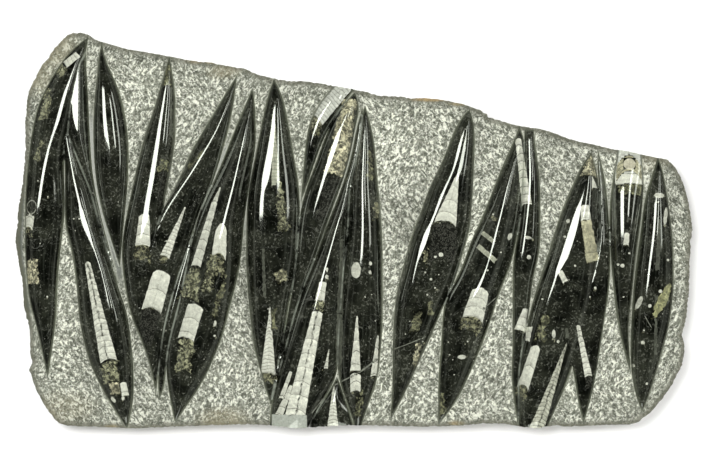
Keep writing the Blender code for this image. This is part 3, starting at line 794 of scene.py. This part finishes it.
def hex_colour(code):
    """Linear colour of an sRGB hex code."""
    parts = [int(code[i : i + 2], 16) / 255 for i in (1, 3, 5)]
    return [p / 12.92 if p <= 0.04045 else ((p + 0.055) / 1.055) ** 2.4 for p in parts] + [1.0]


def beside_shell(ax, ay, bx, by, x, y):
    """How far points lie along a shell from its narrow end and to its side, and its length."""
    length = np.hypot(bx - ax, by - ay)
    along_x, along_y = (bx - ax) / length, (by - ay) / length
    x, y = x - ax, y - ay
    return x * along_x + y * along_y, x * along_y - y * along_x, length


shells = [(style, shell) for style, group in SHELLS.items() for shell in group]
shells += [("oval", (sx, sy + r, sx, sy - r, r, r)) for sx, sy, r in SPOTS]
shells = [(style, (*shell, *NO_SEPTA[len(shell) - 6 :])) for style, shell in shells]
corner_face = np.repeat(np.arange(len(faces)), [len(face) for face in faces])
corner_vert = np.concatenate([np.asarray(face) for face in faces])
corner_x, corner_y = verts[corner_vert][:, :2].T
deepest = np.full(len(top_faces), -SHELL_REACH)
shell_of = np.full(len(faces), -1)
for k, (_, (*ends, narrow, wide, pitch, arch, tail)) in enumerate(shells):
    u, v, length = beside_shell(*ends, *centres.T)
    half = narrow + (wide - narrow) * np.clip(u / length, 0, 1)
    septum = u - arch * np.minimum((v / half) ** 2, 1)
    depth = np.minimum(half - np.abs(v), np.minimum(septum, length + tail - septum))
    better = ((depth > deepest) | (depth > 0)) & (owner != MATRIX)
    deepest[better] = depth[better]
    shell_of[: len(top_faces)][better] = k
place = np.zeros((len(corner_vert), 3))
body, rings, looks = (np.zeros((len(faces), 3)) for _ in range(3))
tint, tail_tint = (np.ones((len(faces), 4)) for _ in range(2))
place[:, 0] = -FAR
body[:] = (1, 1, 1)
rings[:, 0] = 9
for k, (style, (*ends, narrow, wide, pitch, arch, tail)) in enumerate(shells):
    colour, end_colour, mottle, siphon, septa, form = STYLES[style]
    mine = shell_of == k
    here = mine[corner_face]
    u, v, length = beside_shell(*ends, corner_x[here], corner_y[here])
    place[here] = np.column_stack([u, v, np.full(len(u), septa)])
    body[mine] = (narrow, wide, length)
    rings[mine] = (pitch, arch, tail)
    looks[mine] = (mottle, siphon, form)
    tint[mine] = hex_colour(colour)
    tail_tint[mine] = hex_colour(end_colour)
flank = np.zeros((len(corner_vert), 3))
for k, spindle in enumerate(SPINDLES.values()):
    here = (np.append(owner, np.full(len(faces) - len(owner), MATRIX)) == k)[corner_face]
    x, y = corner_x[here], corner_y[here]
    flank[here] = np.column_stack([across(spindle, x, y), y, np.full(len(y), k)])
for name, kind, domain, values in (
    ("shell_place", "FLOAT_VECTOR", "CORNER", place),
    ("shell_body", "FLOAT_VECTOR", "FACE", body),
    ("shell_rings", "FLOAT_VECTOR", "FACE", rings),
    ("shell_looks", "FLOAT_VECTOR", "FACE", looks),
    ("shell_tint", "FLOAT_COLOR", "FACE", tint),
    ("shell_end_tint", "FLOAT_COLOR", "FACE", tail_tint),
    ("flank", "FLOAT_VECTOR", "CORNER", flank),
):
    keep_values(name, kind, domain, values)

# ---------------------------------------------------------------------------------------------
# The stone's surfaces
# The same limestone looks different by how it was worked: crushed pale under the point chisel,
# grey-green where it was only ground, black where it was polished, earthy where it broke.
# ---------------------------------------------------------------------------------------------
MATH, NOISE, VORONOI = "ShaderNodeMath", "ShaderNodeTexNoise", "ShaderNodeTexVoronoi"
SPLIT, JOIN = "ShaderNodeSeparateXYZ", "ShaderNodeCombineXYZ"
COORDS, MAPPING, BUMP = "ShaderNodeTexCoord", "ShaderNodeMapping", "ShaderNodeBump"
STORED = "ShaderNodeAttribute"
TIMES, PLUS, MINUS = ((MATH, {"operation": name}) for name in ("MULTIPLY", "ADD", "SUBTRACT"))
RANGE = ("ShaderNodeMapRange", {})
SMOOTH = ("ShaderNodeMapRange", {"interpolation_type": "SMOOTHSTEP"})
MIX = ("ShaderNodeMix", {"data_type": "FLOAT"})
BLEND = ("ShaderNodeMix", {"data_type": "RGBA"})


def fill(tree, node, pairs):
    """Give a node's sockets their values, or link them to other nodes' first output."""
    for socket, value in pairs:
        socket = node.inputs[socket] if isinstance(socket, str) else socket
        if isinstance(value, bpy.types.Node):
            value = next(s for s in value.outputs if s.enabled)
        if isinstance(value, bpy.types.NodeSocket):
            tree.links.new(value, socket)
        elif value is not None:
            is_colour = isinstance(value, str) and value.startswith("#")
            socket.default_value = hex_colour(value) if is_colour else value


def add_node(tree, kind, *values, named=(), **settings):
    """Add a node with its settings; fill its sockets in order, and others by name."""
    kind, usual = kind if isinstance(kind, tuple) else (kind, {})
    node = tree.nodes.new(kind)
    for key, value in {**usual, **settings}.items():
        setattr(node, key, value)
    fill(tree, node, zip([s for s in node.inputs if s.enabled], values))
    fill(tree, node, dict(named).items())
    return node


def stone(name):
    """A new material, its tree's adder, its shader's filler and its Object coordinates."""
    material = bpy.data.materials.new(name)
    material.use_nodes = True
    tree = material.node_tree
    shader, coords = tree.nodes["Principled BSDF"], add_node(tree, COORDS).outputs["Object"]
    return material, partial(add_node, tree), partial(fill, tree, shader), coords


# Dressed limestone: a point chisel crushes the rock into pale strokes about 4 mm long and a good
# 2 mm wide, slanting one way and then the other, so the eye sees a light speckled grey. Its dark
# strokes and pits are partly painted shade of the chisel's dents. The ground strips between close
# spindles are smooth and grey-green, with pale lines painted along their edges as highlights.
dressed_stone, add, finish, at = stone("dressed_limestone")
field = add(NOISE, at, 22, 2, 0.5)
cloud = add(NOISE, at, 14, 3, 0.55)
strokes = []
for turn in (0.6, -0.5):
    laid = {"Rotation": (0, 0, turn), "Scale": (0.0029, 0.0056, 0.004)}
    slanted = add(MAPPING, at, named=laid, vector_type="TEXTURE")
    strokes.append(add(NOISE, slanted, 1.0, 3, 0.6, 2, 0.9))
turned = add(SMOOTH, field, 0.46, 0.54)
strokes = add(MIX, turned, *strokes)
crumbs = add(NOISE, at, 520, 2, 0.6, 2, 0.8)
grit = add(NOISE, at, 1500, 2, 0.6)
pale = add(SMOOTH, strokes, 0.51, 0.61)
# Dark strokes and pits: partly the matrix's own darker grain, partly painted shade for the shaded
# sides of the chisel's dents.
dark = add(SMOOTH, strokes, 0.47, 0.37)
crumbled = add(SMOOTH, crumbs, 0.55, 0.64)
shaded_pits = add(SMOOTH, crumbs, 0.45, 0.35)
colour = add(BLEND, pale, "#7F8274", "#DADCCB")
shades = ((dark, 0.75, "#4B4E42"), (crumbled, 0.65, "#E4E6D8"), (shaded_pits, 0.8, "#3A3C32"))
for share, gain, tone in shades:
    colour = add(BLEND, add(TIMES, share, gain), colour, tone)
value = add(RANGE, cloud, 0.33, 0.67, 0.82, 1.16)
value = add(TIMES, value, add(RANGE, grit, 0.3, 0.7, 0.85, 1.15))
rim = add(STORED, attribute_name="rim_mm").outputs["Fac"]
value = add(TIMES, value, add(RANGE, rim, 0, 20, 0.86, 1.02))
colour = add("ShaderNodeHueSaturation", 0.5, 1.0, value, 1.0, colour)
ground = add(STORED, attribute_name="ground_strip").outputs["Fac"]
foot = add(STORED, attribute_name="foot_mm").outputs["Fac"]
# Painted highlight: a pale line along each edge of a ground strip, a little off the spindle's foot
# and broken up by scores, stands for light caught on the strip.
outward = add(TIMES, foot, -1.0)
line = add(SMOOTH, outward, 0.2, 0.6)
past_line = add(SMOOTH, outward, 1.7, 0.9, 0.15, 1.0)
line = add(TIMES, line, past_line)
scored = add(JOIN, add(TIMES, outward, 0.7))
scored = add(NOISE, scored, 1.0, 3, 0.7)
scored = add(RANGE, scored, 0.38, 0.62, 0.25, 1.0)
line = add(TIMES, line, scored)
smooth = add(BLEND, line, "#40453A", "#979B8D")
colour = add(BLEND, ground, colour, smooth)
# Painted highlight: the matrix right at each spindle's foot is painted pale, in a ragged line.
outward = add(MINUS, outward, add(TIMES, crumbs, 1.2))
painted_foot_highlight = add(SMOOTH, outward, 0.2, -0.5, 0, 0.6)
colour = add(BLEND, painted_foot_highlight, colour, "#A3A695")
# Painted shade: a dark ragged line right along the slab's broken edge.
rim = add(MINUS, rim, add(TIMES, strokes, 8.0))
edge = add(SMOOTH, rim, 1.0, -2.5, 0, 0.75)
colour = add(BLEND, edge, colour, "#5E5E50")
stain = add(STORED, attribute_name="rust").outputs["Fac"]
hue = add(STORED, attribute_name="orange").outputs["Fac"]
stain_colour = add(BLEND, hue, "#8C8768", "#B08D55")
stain = add(TIMES, stain, add(RANGE, strokes, 0.3, 0.6, 0.4, 1.0))
colour = add(BLEND, stain, colour, stain_colour)
rough = add(RANGE, ground, 0, 1, 0.85, 0.35)
height = add(PLUS, strokes, add(TIMES, crumbs, 0.6))
height = add(PLUS, height, add(TIMES, grit, 0.3))
keep = add(RANGE, ground, 0, 1, 1.0, 0.05)
bump = add(BUMP, keep, 0.0014, named={"Height": height})
look = {"Base Color": colour, "Roughness": rough, "Normal": bump, "IOR": 1.55}
finish({**look, "Specular IOR Level": 0.3}.items())

# Polished limestone: calcite mud full of carbon, ground with finer and finer grit and buffed, so
# it is glossy black with soft grey clouds, white specks of shell, and sharp reflections.
polished_stone, add, finish, at = stone("polished_black_limestone")
flank = add(SPLIT, add(STORED, attribute_name="flank").outputs["Vector"])
flow = (add(TIMES, flank.outputs[0], 9.0), add(TIMES, flank.outputs[1], 0.02), flank.outputs[2])
flow = add(JOIN, *flow)
streaks = add(NOISE, flow, 1.0, 3, 0.6, 2, 0.2)
cloud = add(NOISE, at, 45, 5, 0.65, 2, 0.5)
fine = add(NOISE, at, 420, 3, 0.6)
wander = add(NOISE, at, 320, 2, 0.5)
black = add(SMOOTH, cloud, 0.36, 0.66)
black = add(BLEND, black, "#030402", "#262820")
# Painted sheen: grey lines along each spindle's flanks stand for the fine facets left by grinding.
grey = add(SMOOTH, streaks, 0.52, 0.72, 0, 0.35)
black = add(BLEND, grey, black, "#3B3F36")
cells = add(VORONOI, at, 260, named={"Randomness": 1.0})
choice = add(SPLIT, cells.outputs["Color"])
size = add(RANGE, choice.outputs[0], 0.6, 1.0, 0.0, 0.2)
speck = add(MINUS, size, cells.outputs["Distance"])
speck = add(RANGE, speck, 0.0, 0.06)
speck = add(TIMES, speck, choice.outputs[1])
black = add(BLEND, speck, black, "#A9AA9C")
dust = add(PLUS, fine, add(TIMES, cloud, 0.35))
dust = add(SMOOTH, dust, 0.74, 0.86, 0, 0.5)
black = add(BLEND, dust, black, "#6A6C61")
bent = add(NOISE, at, 35, 3, 0.6, 2, 1.5)
crack = add(MATH, add(MINUS, bent, 0.5), operation="ABSOLUTE")
crack = add(RANGE, crack, 0.006, 0.0, 0, 0.4)
black = add(BLEND, crack, black, "#6E7068")

# Shells in it: mask from the cone's outline, septa along it, siphuncle in its middle.
(u, v, septa), (narrow, wide, length), (pitch, arch, tail), (mottle, siphon, form) = (
    add(SPLIT, add(STORED, attribute_name=name).outputs["Vector"]).outputs
    for name in ("shell_place", "shell_body", "shell_rings", "shell_looks")
)
tint = add(STORED, attribute_name="shell_tint").outputs["Color"]
end_tint = add(STORED, attribute_name="shell_end_tint").outputs["Color"]
off = add(RANGE, wander, 0.25, 0.75, -0.7, 0.7)
half = add(RANGE, u, 0, length, narrow, wide)
side = add(MATH, v, operation="ABSOLUTE")
share = add(MATH, side, half, operation="DIVIDE")
share = add(MATH, share, 2.0, operation="POWER")
bow = add(MATH, share, 1.0, operation="MINIMUM")
ring_at = add(MINUS, u, add(TIMES, bow, arch))
sway = add(NOISE, at, 110, 2, 0.5)
sway = add(RANGE, sway, 0.3, 0.7, -0.9, 0.9)
ring_at = add(PLUS, ring_at, sway)
whole = add(PLUS, length, tail)
ends = add(MATH, ring_at, add(MINUS, whole, ring_at), operation="MINIMUM")
cone = add(MATH, add(MINUS, half, side), ends, operation="MINIMUM")
lengthwise = add(RANGE, u, 0, length, -1, 1, clamp=False)
radius = add(PLUS, add(MATH, lengthwise, 2.0, operation="POWER"), share)
radius = add(MATH, radius, operation="SQRT")
egg = add(MINUS, 1.0, radius)
egg = add(TIMES, egg, half)
is_egg = add(MATH, form, 0.25, operation="GREATER_THAN")
depth = add(MIX, is_egg, cone, egg)
is_ring = add(MATH, form, 0.75, operation="GREATER_THAN")
hollow = add(MINUS, 0.9, depth)
hollow = add(MATH, hollow, depth, operation="MINIMUM")
depth = add(MIX, is_ring, depth, hollow)
at_end = add(MINUS, ring_at, length)
at_end = add(SMOOTH, at_end, -0.6, 0.8)
patchy = add(MATH, mottle, at_end, operation="MAXIMUM")
lumps = add(NOISE, at, 170, 3, 0.65, 2, 0.8)
lumps = add(RANGE, lumps, 0.3, 0.7, -1, 1)
ragged = add(TIMES, off, add(RANGE, patchy, 0, 1, 0.3, 0.9))
torn = add(TIMES, lumps, add(RANGE, patchy, 0.3, 1, 0.0, 3.2))
depth = add(PLUS, depth, add(PLUS, ragged, torn))
mask = add(SMOOTH, depth, -0.1, 0.4)
to_line = add(MATH, ring_at, add(TIMES, pitch, 0.5), operation="PINGPONG")
line = add(SMOOTH, to_line, 0.6, 0.1)
line = add(TIMES, line, add(RANGE, cloud, 0.35, 0.6, 0.4, 1.0))
line = add(TIMES, line, septa)
chamber = add(MATH, ring_at, pitch, operation="DIVIDE")
chamber = add(MATH, chamber, operation="FRACT")
chamber = add(RANGE, chamber, 0, 1, 1.08, 0.82)
blotch = add(NOISE, at, 330, 4, 0.7, 2, 0.8)
gaps = add(SMOOTH, blotch, 0.47, 0.53)
crystals = add(VORONOI, at, 360, named={"Randomness": 1.0})
facet = add(SPLIT, crystals.outputs["Color"]).outputs[0]
calcite = add(BLEND, at_end, tint, end_tint)
tone = add(RANGE, fine, 0.3, 0.7, 0.8, 1.12)
tone = add(TIMES, tone, chamber)
crystal = add(MINUS, facet, add(TIMES, lumps, 0.35))
crystal = add(RANGE, crystal, -0.1, 1.0, 0.28, 2.0)
crystal = add(MIX, patchy, 1.0, crystal)
tone = add(TIMES, tone, crystal)
calcite = add("ShaderNodeHueSaturation", 0.5, 1.0, tone, 1.0, calcite)
veined = add(SMOOTH, blotch, 0.5, 0.535)
veined = add(TIMES, veined, add(RANGE, blotch, 0.57, 0.535))
veined = add(TIMES, veined, 0.4)
calcite = add(BLEND, veined, calcite, "#77786C")
line = add(TIMES, line, add(RANGE, at_end, 0, 1, 1, 0))
calcite = add(BLEND, line, calcite, "#3A3A33")
tube = add(PLUS, v, add(TIMES, sway, 0.8))
tube = add(PLUS, tube, add(TIMES, off, 0.9))
tube = add(MATH, tube, operation="ABSOLUTE")
tube = add(MINUS, siphon, tube)
tube = add(SMOOTH, tube, -0.4, 0.3, 0, 0.9)
tube = add(TIMES, tube, add(RANGE, lumps, -0.5, 0.3, 0.15, 1.0))
calcite = add(BLEND, tube, calcite, "#2B2B25")
gaps = add(TIMES, gaps, add(RANGE, patchy, 0.25, 1, 0, 0.95))
mask = add(TIMES, mask, add(MINUS, 1.0, gaps))
colour = add(BLEND, mask, black, calcite)

# The foot of a spindle is ground but not polished: a dull grey-green band over a mm wide. A thin
# pale line where two spindles meet is a painted highlight, for the light caught in the valley
# between them.
foot = add(STORED, attribute_name="foot_mm").outputs["Fac"]
foot = add(PLUS, foot, add(TIMES, off, 0.4))
band = add(SMOOTH, foot, 2.0, 0.6, 0, 0.9)
scored = add(RANGE, streaks, 0.4, 0.6)
dull = add(BLEND, scored, "#25281D", "#5A5E4E")
colour = add(BLEND, band, colour, dull)
# Painted highlight: a thin pale line along the valleys between spindles.
valley = add(STORED, attribute_name="valley_mm").outputs["Fac"]
painted_valley_highlight = add(SMOOTH, valley, 1.2, 0.2, 0, 0.8)
painted_valley_highlight = add(TIMES, painted_valley_highlight, add(RANGE, cloud, 0.4, 0.55))
colour = add(BLEND, painted_valley_highlight, colour, "#8B9084")
rough = add(RANGE, fine, 0.3, 0.7, 0.055, 0.08)
rough = add(MIX, band, rough, 0.4)
wave = add(BUMP, 0.12, 0.0004, named={"Height": add(NOISE, at, 90, 2, 0.5)})
look = {"Base Color": colour, "Roughness": rough, "Normal": wave, "IOR": 1.58}
finish({**look, "Specular IOR Level": 0.62, "Specular Tint": (0.95, 1.0, 0.88, 1.0)}.items())

# Broken limestone: the side wall, split and roughly trimmed, dusty grey-brown.
broken_stone, add, finish, at = stone("broken_limestone")
splits = add(NOISE, at, 90, 5, 0.62, 2, 0.4)
crumbs = add(NOISE, at, 420, 3, 0.6)
colour = add(BLEND, splits, "#55554B", "#A5A292")
speckle = add(SMOOTH, crumbs, 0.55, 0.68, 0, 0.6)
colour = add(BLEND, speckle, colour, "#C9C6B8")
height = add(PLUS, splits, add(TIMES, crumbs, 0.3))
bump = add(BUMP, 1.0, 0.0025, named={"Height": height})
finish({"Base Color": colour, "Roughness": 0.85, "Normal": bump, "IOR": 1.55}.items())

# Sawn limestone: the back, flat from the stone saw, matt dark grey with shallow arcs of the blade.
sawn_stone, add, finish, at = stone("sawn_limestone")
centred = add(MAPPING, at, named={"Location": (0.9, 0, 0)})
rings = {"wave_type": "RINGS", "rings_direction": "Z"}
blade = add("ShaderNodeTexWave", centred, 55, 1.5, 2, **rings)
cloud = add(NOISE, at, 30, 4, 0.6)
colour = add(BLEND, cloud, "#5E6058", "#8A8B80")
bump = add(BUMP, 0.3, 0.0004, named={"Height": blade})
finish({"Base Color": colour, "Roughness": 0.7, "Normal": bump, "IOR": 1.55}.items())

# ---------------------------------------------------------------------------------------------
# Dressing and breaking the slab
# The point chisel leaves chips half a millimetre deep in the matrix, and the side walls are split
# rock. A node tree moves the slab's skin by those depths and gives each zone its stone.
# ---------------------------------------------------------------------------------------------
DRESSING = {
    "Chip depth": 1.1 * MM,
    "Chip length": 4.2 * MM,
    "Pit depth": 0.6 * MM,
    "Pit width": 1.9 * MM,
    "Break depth": 2.6 * MM,
    "Break width": 11.0 * MM,
    "Seed": 7.0,
}
dressing = bpy.data.node_groups.new("stone_dressing", "GeometryNodeTree")
sockets = {}
dressing.interface.new_socket("Geometry", in_out="INPUT", socket_type="NodeSocketGeometry")
dressing.interface.new_socket("Geometry", in_out="OUTPUT", socket_type="NodeSocketGeometry")
for name in DRESSING:
    socket = dressing.interface.new_socket(name, in_out="INPUT", socket_type="NodeSocketFloat")
    sockets[name] = socket.identifier
add = partial(add_node, dressing)
given = add("NodeGroupInput").outputs
spot = add("GeometryNodeInputPosition")
moves = []
for width, depth, mask, detail in (
    ("Chip length", "Chip depth", "dressed", 2.0),
    ("Pit width", "Pit depth", "dressed", 1.0),
    ("Break width", "Break depth", "broken", 4.0),
):
    scale = add(MATH, 1.0, given[width], operation="DIVIDE")
    grain = add(NOISE, spot, given["Seed"], scale, detail, 0.6, noise_dimensions="4D")
    lower = add(MINUS, grain, 1.0)
    lower = add(TIMES, lower, given[depth])
    where = add("GeometryNodeInputNamedAttribute", mask, data_type="FLOAT")
    moves.append(add(TIMES, lower, where))
chips = add(PLUS, moves[0], moves[1])
chips = add(JOIN, 0, 0, chips)
normal = add("GeometryNodeInputNormal")
push = {"Scale": moves[2].outputs[0]}
breaks = add("ShaderNodeVectorMath", normal, named=push, operation="SCALE")
offset = add("ShaderNodeVectorMath", chips, breaks, operation="ADD")
skin = add("GeometryNodeSetPosition", given["Geometry"], named={"Offset": offset.outputs[0]})
skin = add("GeometryNodeRealizeInstances", skin)
zone_of = add("GeometryNodeInputNamedAttribute", "zone", data_type="INT")
for number, material in enumerate((dressed_stone, polished_stone, broken_stone, sawn_stone)):
    mine = add("FunctionNodeCompare", zone_of, number, data_type="INT", operation="EQUAL")
    skin = add("GeometryNodeSetMaterial", skin, mine, material)
add("NodeGroupOutput", skin)

slab = bpy.data.objects.new("fossil_relief_slab", slab_mesh)
bpy.context.scene.collection.objects.link(slab)
slab_mesh.polygons.foreach_set("use_smooth", [True] * len(slab_mesh.polygons))
modifier = slab.modifiers.new("Dressing", "NODES")
modifier.node_group = dressing
for name, value in DRESSING.items():
    modifier[sockets[name]] = value
graph = bpy.context.evaluated_depsgraph_get()
finished = bpy.data.meshes.new_from_object(
    slab.evaluated_get(graph), preserve_all_data_layers=True, depsgraph=graph
)
slab.modifiers.clear()
slab.data = finished
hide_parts("fossil_slab")
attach(slab, "root")

# ---------------------------------------------------------------------------------------------
# Floor, light and camera
# The slab lies on a white table under soft lights, and the camera looks straight down on it
# through a long lens.
# ---------------------------------------------------------------------------------------------
FLOOR_SIDE = 8.0
VIEW_HEIGHT = 2.5
VIEW_WIDTH = 0.6372  # width of the frame at the matrix
SENSOR = 36.0
VIEW_CENTRE = (-0.00005, -0.0049)

floor_mesh = bpy.data.meshes.new("floor")
half = FLOOR_SIDE / 2
floor_mesh.from_pydata(
    [(-half, -half, 0), (half, -half, 0), (half, half, 0), (-half, half, 0)], [], [(0, 1, 2, 3)]
)
floor = bpy.data.objects.new("floor", floor_mesh)
floor.location.z = -0.0002
white = bpy.data.materials.new("white_table")
white.use_nodes = True
paint = white.node_tree.nodes["Principled BSDF"]
paint.inputs["Base Color"].default_value = (0.95, 0.95, 0.945, 1)
paint.inputs["Roughness"].default_value = 0.9
floor.data.materials.append(white)
bpy.context.scene.collection.objects.link(floor)
floor.visible_glossy = False

# Each light: its middle, its size, its power in watts, and whether it hangs level. The others
# are turned to face the slab. The fill light only softens shadows and isn't mirrored in the polish.
LIGHTS = {
    "main_softbox": ((-0.64, 0.475, 2.2), (1.12, 0.85), 56.0, True),
    "side_softbox": ((1.025, 0.5, 1.8), (0.25, 0.6), 7.0, True),
    "right_strip": ((2.0, 0.6, 1.5), (1.2, 0.3), 7.0, False),
    "near_softbox": ((0.3, -2.1, 1.1), (2.2, 0.9), 26.0, False),
    "fill_light": ((1.5, -0.3, 1.6), (1.4, 1.4), 12.0, False),
}
for name, (where, size, watts, level) in LIGHTS.items():
    lamp = bpy.data.lights.new(name, "AREA")
    lamp.shape = "RECTANGLE"
    lamp.size, lamp.size_y = size
    lamp.energy = watts
    holder = bpy.data.objects.new(name, lamp)
    holder.location = where
    holder.visible_glossy = name != "fill_light"
    if not level:
        holder.rotation_euler = (-Vector(where)).to_track_quat("-Z", "Y").to_euler()
    bpy.context.scene.collection.objects.link(holder)

# The room: bright low walls, with two pale bands of window light that draw lines on the flanks.
world = bpy.data.worlds.new("studio")
world.use_nodes = True
add = partial(add_node, world.node_tree)
sky = add(SPLIT, add(COORDS).outputs["Generated"]).outputs[2]
room = add(SMOOTH, sky, 0.0, 0.55, 0.4, 0.03)
below = add(SMOOTH, sky, -0.12, 0.02, 0.12, 1.0)
room = add(TIMES, room, below)
for low, high, gain in ((0.2, 0.3, 0.4), (0.52, 0.57, 0.25)):
    rising = add(SMOOTH, sky, low, low + 0.04)
    falling = add(SMOOTH, sky, high + 0.04, high, 0, gain)
    band = add(TIMES, rising, falling)
    room = add(PLUS, room, band)
walls = add("ShaderNodeCombineColor", *(add(TIMES, room, part) for part in (0.98, 1.0, 0.91)))
background = world.node_tree.nodes["Background"]
fill(world.node_tree, background, {"Color": walls, "Strength": 1.0}.items())
bpy.context.scene.world = world
bpy.context.scene.view_settings.view_transform = "Standard"

camera = bpy.data.objects.new("camera", bpy.data.cameras.new("camera"))
camera.data.sensor_width = SENSOR
camera.data.lens = SENSOR * (VIEW_HEIGHT - MATRIX_LEVEL * MM) / VIEW_WIDTH
camera.location = (*VIEW_CENTRE, VIEW_HEIGHT)
bpy.context.scene.collection.objects.link(camera)
bpy.context.scene.camera = camera
